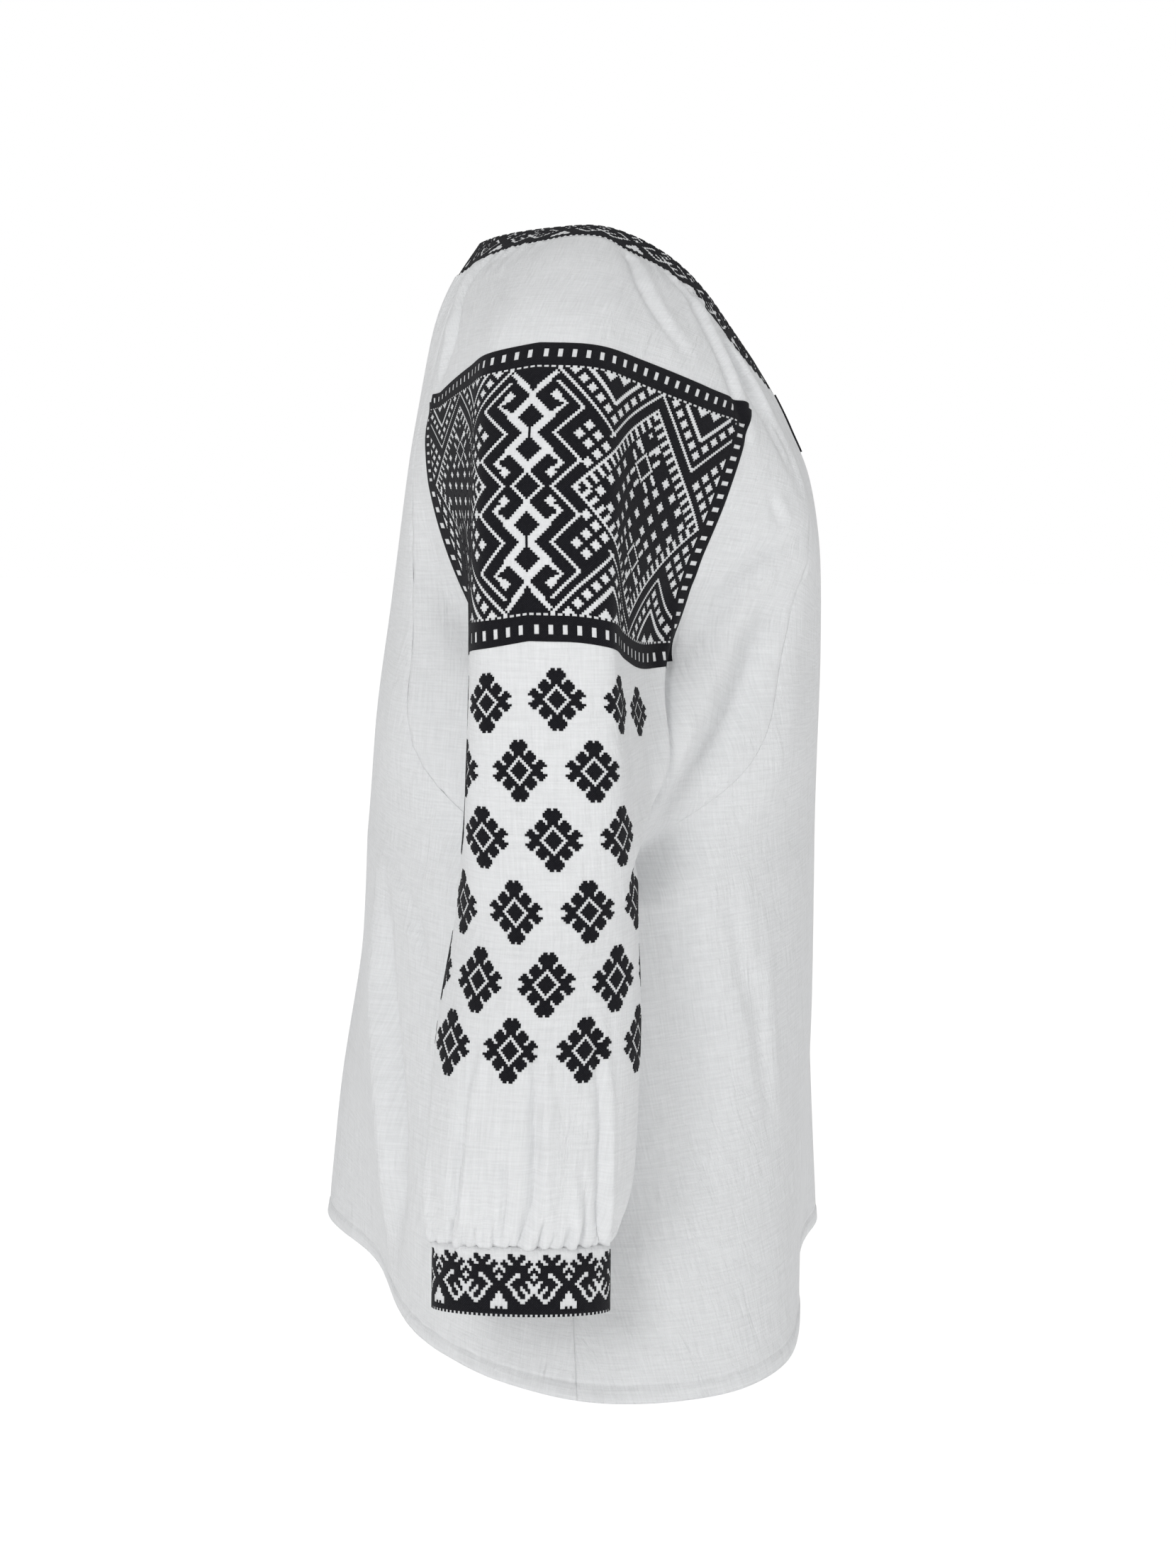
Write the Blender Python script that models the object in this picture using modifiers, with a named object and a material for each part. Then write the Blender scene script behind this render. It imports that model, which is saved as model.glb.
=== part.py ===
"""A gathered folk blouse as it hangs when it is worn, with nobody in it.

Metres, +Z up, the wearer's front faces -Y and the wearer's right is -X. The origin lies
between the shoulders at the height of the neck edge, where the wearer holds the blouse up.
"""

import math

import bmesh
import bpy
import numpy as np

# Driving sizes
CLOTH = 0.0012
BAND_CLOTH = 0.0024
CUFF_CLOTH = 0.0020
SEAM_GAP = 0.0004
HEM_Z = -0.687
HEM_TURN = 0.010
HEM_RAISE = 0.0006
HEM_STATION_LENGTH = 0.105
SLIT_WIDTH = 0.0040
SLIT_FOOT_STATION = 4.05
CUFF_HEIGHT = 0.036
BAND_LIFT = 0.0007
CUFF_LIFT = 0.0006
UNDERARM = 7

# Numbers of faces along each edge, and of short steps between two key points of a section
PANEL_COLUMNS = 48
SLEEVE_COLUMNS = 57
BAND_COLUMNS = 72
CUFF_COLUMNS = 40
CURVE_STEPS = 24
RING_STEPS = 144
WELD = 0.00005

# Where the rows of faces lie, in stations down the blouse: station 0 is the neck edge,
# 1 the foot of the neck band and 7 the underarm
HEM_FOLD = 10 - HEM_TURN / HEM_STATION_LENGTH
UPPER_ROWS = (1.01, 1.35, 1.9, 2.6, 3.3, 4.05, 4.8, 5.5, 6.1, 6.55, 6.85)
PANEL_ROWS = UPPER_ROWS + (7.0, 7.4, 8.0, 8.7, 9.4, HEM_FOLD - 0.01, HEM_FOLD, 10.0)
SLEEVE_ROWS = UPPER_ROWS + (7.0, 7.5, 8.1, 8.7, 9.2, 9.6, 9.99)
BAND_ROWS = (0.0, 0.5, 0.99)

# The front of the body, a row for each station. Columns: forward and height of the centre
# line, then out and forward of the sleeve seam and of the hollow between arm and chest,
# and how far the section wraps round to the side
FRONT = (
    (0.108, -0.083, 0.062, 0.0815, 0.080, 0.054, 0.000),
    (0.1215, -0.105, 0.083, 0.0845, 0.101, 0.0545, 0.000),
    (0.133, -0.128, 0.089, 0.0985, 0.130, 0.0698, 0.000),
    (0.146, -0.160, 0.093, 0.121, 0.158, 0.077, 0.000),
    (0.153, -0.207, 0.100, 0.142, 0.164, 0.0798, 0.100),
    (0.155, -0.268, 0.122, 0.128, 0.160, 0.0591, 0.300),
    (0.154, -0.330, 0.160, 0.102, 0.206, 0.0490, 0.600),
    (0.153, -0.390, 0.212, -0.0064, 0.2261, 0.0268, 1.000),
)

# The arm, a row for each station. Columns: out and forward of its front and of its front
# edge, out, forward and height of its outer line, out and forward of its back edge and back
ARM = (
    (0.0865, 0.033, 0.0875, 0.0186, 0.088, 0.0073, 0.000, 0.0875, -0.003, 0.086, -0.0126),
    (0.111, 0.0275, 0.113, 0.0172, 0.114, 0.0041, -0.007, 0.113, -0.0071, 0.1115, -0.0178),
    (0.144, 0.039, 0.153, 0.0198, 0.155, -0.0015, -0.026, 0.152, -0.0242, 0.140, -0.0415),
    (0.187, 0.0393, 0.201, 0.0188, 0.205, -0.0158, -0.066, 0.197, -0.042, 0.168, -0.058),
    (0.212, 0.0363, 0.238, 0.0253, 0.243, -0.0211, -0.140, 0.239, -0.0447, 0.200, -0.0587),
    (0.232, 0.0325, 0.260, 0.0264, 0.265, -0.0191, -0.231, 0.258, -0.0457, 0.215, -0.0573),
    (0.244, 0.0405, 0.280, 0.0298, 0.287, -0.0148, -0.320, 0.276, -0.0511, 0.245, -0.0571),
    (0.2588, 0.042, 0.2915, 0.0268, 0.305, -0.010, -0.390, 0.2915, -0.0468, 0.2588, -0.062),
)

# The back of the body, a row for each station, with the columns of the front
BACK = (
    (-0.070, -0.009, 0.058, -0.054, 0.078, -0.0306, 0.000),
    (-0.085, -0.032, 0.075, -0.067, 0.100, -0.0423, 0.000),
    (-0.097, -0.058, 0.082, -0.080, 0.118, -0.0627, 0.000),
    (-0.106, -0.095, 0.087, -0.091, 0.128, -0.0749, 0.000),
    (-0.116, -0.152, 0.096, -0.104, 0.145, -0.0815, 0.100),
    (-0.129, -0.238, 0.125, -0.102, 0.148, -0.0642, 0.300),
    (-0.140, -0.318, 0.160, -0.095, 0.179, -0.0614, 0.600),
    (-0.147, -0.390, 0.212, -0.0064, 0.2261, -0.0468, 1.000),
)

# Below the underarm the body is one tube. Columns: height, forward of the centre front, out
# and forward of the side seam, forward of the centre back
BODY = (
    (-0.390, 0.153, 0.212, -0.0064, -0.147),
    (-0.480, 0.153, 0.226, -0.0047, -0.152),
    (-0.580, 0.152, 0.243, 0.0009, -0.156),
    (HEM_Z, 0.150, 0.264, 0.0072, -0.150),
)

# Below the underarm the sleeve is a tube. Columns: height, out and forward of its middle,
# half its width across and half its depth from back to front
SLEEVE = (
    (-0.390, 0.2588, -0.0100, 0.0463, 0.0520),
    (-0.450, 0.2790, -0.0135, 0.0450, 0.0575),
    (-0.525, 0.297, -0.0178, 0.042, 0.0580),
    (-0.569, 0.303, -0.0224, 0.029, 0.0500),
)
CUFF_TOP = (0.303, -0.022, 0.0275, 0.0500)
CUFF_LEAN = 0.0075
CUFF_TILT = 0.26

# Each arc runs from the centre line to the seam, with key points at these shares of the way.
# The higher the fullness, the flatter the middle and the rounder the side
ARC_SHARES = (0.0, 0.3, 0.55, 0.76, 0.91)
FRONT_FULLNESS, FRONT_FULLER_AT_HEM = 2.4, 0.6
BACK_FULLNESS, BACK_FULLER_AT_HEM = 2.1, -0.45

# How far up each point of a slanting section lies, as a share of the way from the centre line
# to the outer line of the arm: at the seam, in the hollow beside the arm, on the arm's front
# or back and at its edge
FRONT_RISE = (0.45, 0.78, 0.92, 0.98)
BACK_RISE = (0.35, 0.72, 0.90, 0.98)

# The flutes are measured round an upright line this far forward of the origin
BODY_MIDDLE = 0.01

# Soft flutes of the hem. Columns: bearing from the centre front towards the wearer's right
# in degrees, how far the hem stands out there, half its width in degrees, height where the
# flute begins
FLUTES = (
    (-168, 0.043, 20, -0.42),
    (150, -0.003, 16, -0.50),
    (122, 0.004, 13, -0.55),
    (96, -0.004, 12, -0.56),
    (60, 0.010, 12, -0.50),
    (28, -0.006, 16, -0.50),
    (-13, 0.013, 13, -0.50),
    (-34, -0.006, 12, -0.52),
    (-60, 0.014, 14, -0.48),
    (-92, -0.005, 13, -0.55),
    (-118, 0.009, 14, -0.53),
    (-143, -0.006, 12, -0.48),
)

# Gathers. Columns: how many there are along the edge, their depth and how far they run
NECK_GATHERS = {"front": (14, 0.0019, 0.84), "back": (14, 0.0019, 0.84), "sleeve": (9, 0.0015, 0.78)}
CUFF_GATHERS = (19, 0.0030, 0.95)
GATHER_START = {"front": 1.3, "back": 2.9, "sleeve": 0.4, "cuff": 1.9}
PLAIN_EDGE = 0.09

WHITE_CLOTH = (0.83, 0.84, 0.85, 1.0)
BLACK_STITCH = (0.03, 0.03, 0.035, 1.0)


def between(table, station):
    """Reads a table between its rows, on a smooth curve through them."""
    rows = np.asarray(table, float)
    last = len(rows) - 1
    station = min(max(station, 0.0), float(last))
    low = min(int(station), last - 1)
    part = station - low
    start, end = rows[low], rows[low + 1]
    slope_start = (end - rows[max(low - 1, 0)]) / (2 if low else 1)
    slope_end = (rows[min(low + 2, last)] - start) / (2 if low + 2 <= last else 1)
    square, cube = part * part, part ** 3
    return (
        (2 * cube - 3 * square + 1) * start
        + (cube - 2 * square + part) * slope_start
        + (3 * square - 2 * cube) * end
        + (cube - square) * slope_end
    )


def through(keys, steps=CURVE_STEPS):
    """Draws a smooth curve through key points and returns it as many short steps."""
    keys = np.asarray(keys, float)
    spans = np.maximum(np.linalg.norm(np.diff(keys, axis=0), axis=1), 1e-6)
    speeds = np.diff(keys, axis=0) / spans[:, None]
    weights = (spans[:-1] / (spans[:-1] + spans[1:]))[:, None]
    slopes = np.vstack([speeds[:1], speeds[:-1] * (1 - weights) + speeds[1:] * weights, speeds[-1:]])
    parts = np.linspace(0, 1, steps, endpoint=False)[:, None]
    square, cube = parts ** 2, parts ** 3
    drawn = [
        (2 * cube - 3 * square + 1) * keys[i]
        + (cube - 2 * square + parts) * slopes[i] * spans[i]
        + (3 * square - 2 * cube) * keys[i + 1]
        + (cube - square) * slopes[i + 1] * spans[i]
        for i in range(len(spans))
    ]
    return np.vstack(drawn + [keys[-1:]])


def spread(curve, fractions):
    """Picks points of a curve at the given fractions of its length."""
    lengths = np.concatenate([[0], np.cumsum(np.linalg.norm(np.diff(curve, axis=0), axis=1))])
    wanted = np.asarray(fractions) * lengths[-1]
    return np.column_stack([np.interp(wanted, lengths, curve[:, axis]) for axis in range(3)])


def body_arc(centre, centre_z, seam_out, seam_forward, seam_z, wrap, fullness):
    """Key points from a centre line of the body to a seam, as (out, forward, height)."""
    keys = []
    for share in ARC_SHARES:
        round_fall = 1 - (1 - share ** fullness) ** (1 / fullness)
        fall = (1 - wrap) * share ** 2 + wrap * round_fall
        keys.append((
            seam_out * share,
            centre + (seam_forward - centre) * fall,
            centre_z + (seam_z - centre_z) * share ** 2,
        ))
    return keys


def upper_keys(station):
    """Key points of one section above the underarm: front arc, sleeve and back arc."""
    front = between(FRONT, station)
    arm = between(ARM, station)
    back = between(BACK, station)
    arm_z = arm[6]

    def height(centre_z, share):
        return centre_z + (arm_z - centre_z) * share

    front_seam = (front[2], front[3], height(front[1], FRONT_RISE[0]))
    back_seam = (back[2], back[3], height(back[1], BACK_RISE[0]))
    front_arc = body_arc(front[0], front[1], *front_seam, front[6], FRONT_FULLNESS)
    back_arc = body_arc(back[0], back[1], *back_seam, back[6], BACK_FULLNESS)
    sleeve = [
        front_seam,
        (front[4], front[5], height(front[1], FRONT_RISE[1])),
        (arm[0], arm[1], height(front[1], FRONT_RISE[2])),
        (arm[2], arm[3], height(front[1], FRONT_RISE[3])),
        (arm[4], arm[5], arm_z),
        (arm[7], arm[8], height(back[1], BACK_RISE[3])),
        (arm[9], arm[10], height(back[1], BACK_RISE[2])),
        (back[4], back[5], height(back[1], BACK_RISE[1])),
        back_seam,
    ]
    return front_arc, sleeve, back_arc


def upper_section(station):
    """The three runs of a section above the underarm, each as a fine curve."""
    front_arc, sleeve, back_arc = upper_keys(station)
    mirrored = [(-front_arc[1][0], front_arc[1][1], front_arc[1][2])]
    behind = [(-back_arc[1][0], back_arc[1][1], back_arc[1][2])]
    keys = mirrored + front_arc + sleeve + back_arc[::-1] + behind
    curve = through(keys)
    front_end = (1 + len(front_arc)) * CURVE_STEPS
    sleeve_end = front_end + (len(sleeve) - 1) * CURVE_STEPS
    back_end = sleeve_end + len(back_arc) * CURVE_STEPS
    return (
        curve[CURVE_STEPS:front_end + 1],
        curve[front_end:sleeve_end + 1],
        curve[sleeve_end:back_end + 1],
    )


def lower_body(station):
    """The front and back runs of the body's tube below the underarm."""
    height, front, side_out, side_forward, back = between(BODY, station - UNDERARM)
    flare = (station - UNDERARM) / (len(BODY) - 1)
    side = (side_out, side_forward, height)
    front_arc = body_arc(front, height, *side, 1.0, FRONT_FULLNESS + FRONT_FULLER_AT_HEM * flare)
    back_arc = body_arc(back, height, *side, 1.0, BACK_FULLNESS + BACK_FULLER_AT_HEM * flare)
    mirrored = [(-front_arc[1][0], front_arc[1][1], height)]
    behind = [(-back_arc[1][0], back_arc[1][1], height)]
    curve = through(mirrored + front_arc + [side] + back_arc[::-1] + behind)
    front_end = (1 + len(front_arc)) * CURVE_STEPS
    back_end = front_end + len(back_arc) * CURVE_STEPS
    return curve[CURVE_STEPS:front_end + 1], curve[front_end:back_end + 1]


def oval(out, forward, height, half_out, half_forward, tilt=0.0):
    """A level ring round the arm, from its inner line round the front and back again."""
    turns = np.linspace(math.pi, -math.pi, RING_STEPS + 1)
    across = half_out * np.cos(turns)
    return np.column_stack([out + across, forward + half_forward * np.sin(turns), height + across * tilt])


def lower_sleeve(station):
    """One ring of the sleeve's tube below the underarm."""
    height, out, forward, half_out, half_forward = between(SLEEVE, station - UNDERARM)
    share = max(station - UNDERARM, 0.0) / (len(SLEEVE) - 1)
    return oval(out, forward, height, half_out, half_forward, CUFF_TILT * share)


def flute(points):
    """Pushes the hem in and out: points are (out to the wearer's right, forward, height)."""
    bearings = np.degrees(np.arctan2(points[:, 0], points[:, 1] - BODY_MIDDLE))
    push = np.zeros(len(points))
    for bearing, depth, width, top in FLUTES:
        turn = (bearings - bearing + 180) % 360 - 180
        fall = np.clip((top - points[:, 2]) / (top - HEM_Z), 0, 1)
        push += depth * np.exp(-(turn / width) ** 2) * fall ** 1.3
    outward = points[:, :2] - np.array([0.0, BODY_MIDDLE])
    outward = outward / np.linalg.norm(outward, axis=1)[:, None]
    moved = points.copy()
    moved[:, :2] += outward * push[:, None]
    return moved


def gather_wave(share, count, seed):
    """Uneven gathers along an edge, from -1 to 1: share runs from 0 to 1 along it."""
    drift = 0.7 * math.sin(6.0 * share + seed)
    depth = 0.72 + 0.28 * math.sin(23 * share + 2 * seed)
    return depth * math.cos(2 * math.pi * count * share + drift)


def panel_row(station, side):
    """Points of one row of the front or back panel, from the right seam to the left."""
    if station < UNDERARM:
        front, _, back = upper_section(station)
    else:
        front, back = lower_body(station)
    run = front if side == "front" else back[::-1]
    length = np.linalg.norm(np.diff(run, axis=0), axis=1).sum()
    half = PANEL_COLUMNS // 2
    narrow = SLIT_WIDTH / 2 / length if side == "front" else 1 / half
    shares = [0.0] + list(np.linspace(narrow, 1 - SEAM_GAP / 2 / length, half))
    right = spread(run, shares)
    left = right * np.array([-1, 1, 1])
    row = np.vstack([right[::-1], left[1:]])
    return flute(row)


def sleeve_row(station):
    """Points of one row of the right sleeve, from the front seam round to the back seam."""
    if station < UNDERARM:
        run = upper_section(station)[1]
        trim = SEAM_GAP / 2 / np.linalg.norm(np.diff(run, axis=0), axis=1).sum()
        return spread(run, np.linspace(trim, 1 - trim, SLEEVE_COLUMNS + 1))
    return spread(lower_sleeve(station), np.linspace(0, 1, SLEEVE_COLUMNS + 1))


def band_row(station):
    """Points of one row of the neck band, from the slit on the right round to the left."""
    front, sleeve, back = upper_section(station)
    run = np.vstack([front, sleeve[1:], back[1:]])
    length = np.linalg.norm(np.diff(run, axis=0), axis=1).sum()
    right = spread(run, np.linspace(SLIT_WIDTH / 2 / length, 1, BAND_COLUMNS // 2 + 1))
    left = right[-2::-1] * np.array([-1, 1, 1])
    return np.vstack([right, left])


def grid_piece(rows, mirror=False):
    """A grid whose rows of points follow the given rows: (out, forward, height)."""
    across, down = len(rows[0]), len(rows)
    sheet = bmesh.new()
    bmesh.ops.create_grid(sheet, x_segments=across - 1, y_segments=down - 1, size=1)
    side = 1 if mirror else -1
    order = sorted(sheet.verts, key=lambda v: (round(-v.co.y, 5), round(v.co.x, 5)))
    for index, vert in enumerate(order):
        out, forward, height = rows[index // across][index % across]
        vert.co = (side * out, -forward, height)
    return sheet, order, across


def shift_along_normals(sheet, order, across, amount):
    """Moves each point along its normal by amount(row, column)."""
    sheet.normal_update()
    moves = [vert.normal * amount(i // across, i % across) for i, vert in enumerate(order)]
    for vert, move in zip(order, moves):
        vert.co += move


def face_outward(sheet, middle=(0.0, -BODY_MIDDLE)):
    """Turns the whole sheet over when its faces look at the upright line through the middle."""
    sheet.normal_update()
    facing = 0.0
    for face in sheet.faces:
        centre = face.calc_center_median()
        outward = face.normal.x * (centre.x - middle[0]) + face.normal.y * (centre.y - middle[1])
        facing += face.calc_area() * outward
    if facing < 0:
        bmesh.ops.reverse_faces(sheet, faces=sheet.faces)
        sheet.normal_update()


def cloth_material(name, colour):
    """Plain cloth: matt, with the colour given."""
    material = bpy.data.materials.new(name)
    material.use_nodes = True
    shader = material.node_tree.nodes["Principled BSDF"]
    shader.inputs["Base Color"].default_value = colour
    shader.inputs["Roughness"].default_value = 0.9
    shader.inputs["Metallic"].default_value = 0.0
    return material


def finish(name, sheet, thickness, colour, collection):
    """Gives a sheet its thickness on the inside and puts it in the collection."""
    mesh = bpy.data.meshes.new(name)
    sheet.to_mesh(mesh)
    sheet.free()
    mesh.shade_smooth()
    mesh.set_sharp_from_angle(angle=math.radians(50))
    piece = bpy.data.objects.new(name, mesh)
    collection.objects.link(piece)
    mesh.materials.append(cloth_material(name, colour))
    wall = piece.modifiers.new("Wall", "SOLIDIFY")
    wall.thickness = thickness
    wall.offset = -1
    return piece


def share_of_fall(rows, row, reach):
    """How strong the gathers of the top edge still are in a row."""
    return math.exp(-((rows[row] - rows[0]) / reach) ** 2)


def cut_slit(sheet, order, across):
    """Opens the centre front from the neck band down to the foot of the slit."""
    middle = across // 2
    beside = {
        order[row * across + column]
        for row, station in enumerate(PANEL_ROWS) if station <= SLIT_FOOT_STATION
        for column in (middle - 1, middle, middle + 1)
    }
    inside = [face for face in sheet.faces if all(vert in beside for vert in face.verts)]
    bmesh.ops.delete(sheet, geom=inside, context="FACES")


def make_panel(side, collection):
    """The front or back panel, gathered into the neck band, with a turned hem."""
    rows = [panel_row(station, side) for station in PANEL_ROWS]
    sheet, order, across = grid_piece(rows)
    face_outward(sheet)
    count, depth, reach = NECK_GATHERS[side]

    def amount(row, column):
        share = column / (across - 1)
        edge = min(1.0, min(share, 1 - share) / PLAIN_EDGE)
        wave = gather_wave(share, count, GATHER_START[side])
        hem = HEM_RAISE if row >= len(rows) - 2 else 0.0
        return depth * wave * edge * share_of_fall(PANEL_ROWS, row, reach) + hem

    shift_along_normals(sheet, order, across, amount)
    if side == "front":
        cut_slit(sheet, order, across)
    return finish(f"{side}_panel", sheet, CLOTH, WHITE_CLOTH, collection)


def make_sleeve(side, collection):
    """A sleeve cut in one with the shoulder, gathered into the band and into the cuff."""
    rows = [sleeve_row(station) for station in SLEEVE_ROWS]
    sheet, order, across = grid_piece(rows, mirror=side == "left")
    face_outward(sheet)
    count, depth, reach = NECK_GATHERS["sleeve"]
    cuff_count, cuff_depth, cuff_reach = CUFF_GATHERS

    def amount(row, column):
        share = column / (across - 1)
        edge = min(1.0, min(share, 1 - share) / PLAIN_EDGE)
        top = depth * gather_wave(share, count, GATHER_START["sleeve"])
        top *= share_of_fall(SLEEVE_ROWS, row, reach)
        up = (SLEEVE_ROWS[-1] - SLEEVE_ROWS[row]) / cuff_reach
        rise = min(1.0, 0.35 + 2.5 * up)
        foot = cuff_depth * gather_wave(share, cuff_count, GATHER_START["cuff"])
        foot *= rise * math.exp(-up * up)
        return (top + foot) * edge

    shift_along_normals(sheet, order, across, amount)
    bmesh.ops.remove_doubles(sheet, verts=sheet.verts, dist=WELD)
    return finish(f"sleeve_{side}", sheet, CLOTH, WHITE_CLOTH, collection)


def make_band(collection):
    """The narrow neck band, open at the centre front."""
    rows = [band_row(station) for station in BAND_ROWS]
    sheet, order, across = grid_piece(rows)
    face_outward(sheet)
    shift_along_normals(sheet, order, across, lambda row, column: BAND_LIFT)
    return finish("neck_band", sheet, BAND_CLOTH, BLACK_STITCH, collection)


def make_cuff(side, collection):
    """A straight cuff, a closed band round the wrist."""
    out, forward, half_out, half_forward = CUFF_TOP
    top = SLEEVE[-1][0] - SEAM_GAP
    shares = np.linspace(0, 1, CUFF_COLUMNS + 1)
    rows = []
    for part in (0.0, 0.5, 1.0):
        ring = oval(
            out + CUFF_LEAN * part, forward, top - CUFF_HEIGHT * part,
            half_out + CUFF_LIFT, half_forward + CUFF_LIFT, CUFF_TILT,
        )
        rows.append(spread(ring, shares))
    sheet, order, across = grid_piece(rows, mirror=side == "left")
    bmesh.ops.remove_doubles(sheet, verts=sheet.verts, dist=WELD)
    across_x = out if side == "left" else -out
    face_outward(sheet, (across_x, -forward))
    return finish(f"cuff_{side}", sheet, CUFF_CLOTH, BLACK_STITCH, collection)


def main():
    """Clears the scene and makes the blouse."""
    for old in list(bpy.data.objects):
        bpy.data.objects.remove(old, do_unlink=True)
    collection = bpy.data.collections.new("folk_blouse")
    bpy.context.scene.collection.children.link(collection)
    for side in ("front", "back"):
        make_panel(side, collection)
    for side in ("right", "left"):
        make_sleeve(side, collection)
        make_cuff(side, collection)
    make_band(collection)


main()
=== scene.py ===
# %% [markdown]
# # A folk blouse: from a hollow form to linen and cross stitch
#
# The blouse hangs as it does when it is worn, with nobody in it. The CAD model gives its
# main form. Here each plain panel is replaced by a fine sheet of cloth on the same form,
# with soft folds, gathers, seams and counted-thread embroidery.
#
# All lengths are in metres. +Z is up, the front faces -Y and the wearer's right is -X.

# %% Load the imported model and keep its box
import math
from functools import partial

import bmesh
import bpy
import numpy as np
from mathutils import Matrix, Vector


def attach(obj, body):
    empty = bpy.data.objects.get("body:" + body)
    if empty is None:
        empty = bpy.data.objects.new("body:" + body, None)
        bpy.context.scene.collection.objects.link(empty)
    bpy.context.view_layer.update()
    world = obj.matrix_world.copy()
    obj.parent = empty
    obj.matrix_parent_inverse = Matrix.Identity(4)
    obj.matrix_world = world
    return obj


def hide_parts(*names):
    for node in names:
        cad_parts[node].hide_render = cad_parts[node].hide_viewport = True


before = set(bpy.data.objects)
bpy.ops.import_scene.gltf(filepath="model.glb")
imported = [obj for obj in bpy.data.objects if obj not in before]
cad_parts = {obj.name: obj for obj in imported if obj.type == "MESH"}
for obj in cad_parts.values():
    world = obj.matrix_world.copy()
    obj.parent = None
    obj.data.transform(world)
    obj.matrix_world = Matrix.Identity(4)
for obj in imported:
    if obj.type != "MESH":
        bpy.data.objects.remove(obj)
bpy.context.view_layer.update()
blouse = bpy.data.collections.new("folk_blouse_cloth")
bpy.context.scene.collection.children.link(blouse)
print("solids:", ", ".join(sorted(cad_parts)))

# %% [markdown]
# ## The camera
# The camera stands at the wearer's right, turned three degrees towards the front, at the
# height of the neck, and looks slightly down.

# %% Place the camera
PHOTO_HEIGHT = 2212
FOCAL_PIXELS = 3216
SENSOR = 36.0
CAMERA_TURN = math.radians(3)
CAMERA_PITCH = math.radians(11.53)
CAMERA_DISTANCE = 1.517
CAMERA_HEIGHT = -0.056

view_data = bpy.data.cameras.new("camera")
view_data.sensor_width = SENSOR
view_data.lens = SENSOR * FOCAL_PIXELS / PHOTO_HEIGHT
camera = bpy.data.objects.new("camera", view_data)
bpy.context.scene.collection.objects.link(camera)
camera.location = (
    -CAMERA_DISTANCE * math.cos(CAMERA_TURN),
    -CAMERA_DISTANCE * math.sin(CAMERA_TURN),
    CAMERA_HEIGHT,
)
looks_along = Vector((
    math.cos(CAMERA_TURN) * math.cos(CAMERA_PITCH),
    math.sin(CAMERA_TURN) * math.cos(CAMERA_PITCH),
    -math.sin(CAMERA_PITCH),
))
camera.rotation_euler = looks_along.to_track_quat("-Z", "Y").to_euler()
bpy.context.scene.camera = camera
print("lens", round(view_data.lens, 2), "mm")

# %% [markdown]
# ## The form of the body and the arms
# Every level of the blouse is one closed section, drawn through a few key points. The
# tables give those points at stations down the blouse: 0 is the neck edge, 1 the foot of
# the band, 3 the top of the embroidered panel, 5 its foot, 7 the underarm and 10 the hem or
# the top of the cuff. Points are written (out from the middle, forward, height).

# %% Tables of the form
HEM_Z = -0.687
HEM_TURN = 0.010
HEM_STATION_LENGTH = 0.105
SLIT_WIDTH = 0.0040
SLIT_FOOT_STATION = 4.05
CUFF_HEIGHT = 0.036
SEAM_GAP = 0.0004
UNDERARM = 7
BODY_MIDDLE = 0.01
CURVE_STEPS = 24
RING_STEPS = 144

# The front of the body: forward and height of the centre line, out and forward of the
# sleeve seam and of the hollow between arm and chest, how far the section wraps round
FRONT = (
    (0.108, -0.083, 0.062, 0.0815, 0.08, 0.054, 0),
    (0.1215, -0.105, 0.083, 0.0845, 0.101, 0.0545, 0),
    (0.133, -0.128, 0.089, 0.0985, 0.13, 0.0698, 0),
    (0.146, -0.16, 0.093, 0.121, 0.158, 0.077, 0),
    (0.153, -0.207, 0.1, 0.142, 0.164, 0.0798, 0.1),
    (0.155, -0.268, 0.122, 0.128, 0.16, 0.0591, 0.3),
    (0.154, -0.33, 0.16, 0.102, 0.206, 0.049, 0.6),
    (0.153, -0.39, 0.212, -0.0064, 0.2261, 0.0268, 1),
)

# The arm: out and forward of its front and of its front edge, out, forward and height of its
# outer line, out and forward of its back edge and of its back
ARM = (
    (0.0865, 0.033, 0.0875, 0.0186, 0.088, 0.0073, 0, 0.0875, -0.003, 0.086, -0.0126),
    (0.111, 0.0275, 0.113, 0.0172, 0.114, 0.0041, -0.007, 0.113, -0.0071, 0.1115, -0.0178),
    (0.144, 0.039, 0.153, 0.0198, 0.155, -0.0015, -0.026, 0.152, -0.0242, 0.14, -0.0415),
    (0.187, 0.0393, 0.201, 0.0188, 0.205, -0.0158, -0.066, 0.197, -0.042, 0.168, -0.058),
    (0.212, 0.0363, 0.238, 0.0253, 0.243, -0.0211, -0.14, 0.239, -0.0447, 0.2, -0.0587),
    (0.232, 0.0325, 0.26, 0.0264, 0.265, -0.0191, -0.231, 0.258, -0.0457, 0.215, -0.0573),
    (0.244, 0.0405, 0.28, 0.0298, 0.287, -0.0148, -0.32, 0.276, -0.0511, 0.245, -0.0571),
    (0.2588, 0.042, 0.2915, 0.0268, 0.305, -0.01, -0.39, 0.2915, -0.0468, 0.2588, -0.062),
)

# The back of the body, with the columns of the front
BACK = (
    (-0.07, -0.009, 0.058, -0.054, 0.078, -0.0306, 0),
    (-0.085, -0.032, 0.075, -0.067, 0.1, -0.0423, 0),
    (-0.097, -0.058, 0.082, -0.08, 0.118, -0.0627, 0),
    (-0.106, -0.095, 0.087, -0.091, 0.128, -0.0749, 0),
    (-0.116, -0.152, 0.096, -0.104, 0.145, -0.0815, 0.1),
    (-0.129, -0.238, 0.125, -0.102, 0.148, -0.0642, 0.3),
    (-0.14, -0.318, 0.16, -0.095, 0.179, -0.0614, 0.6),
    (-0.147, -0.39, 0.212, -0.0064, 0.2261, -0.0468, 1),
)

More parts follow.
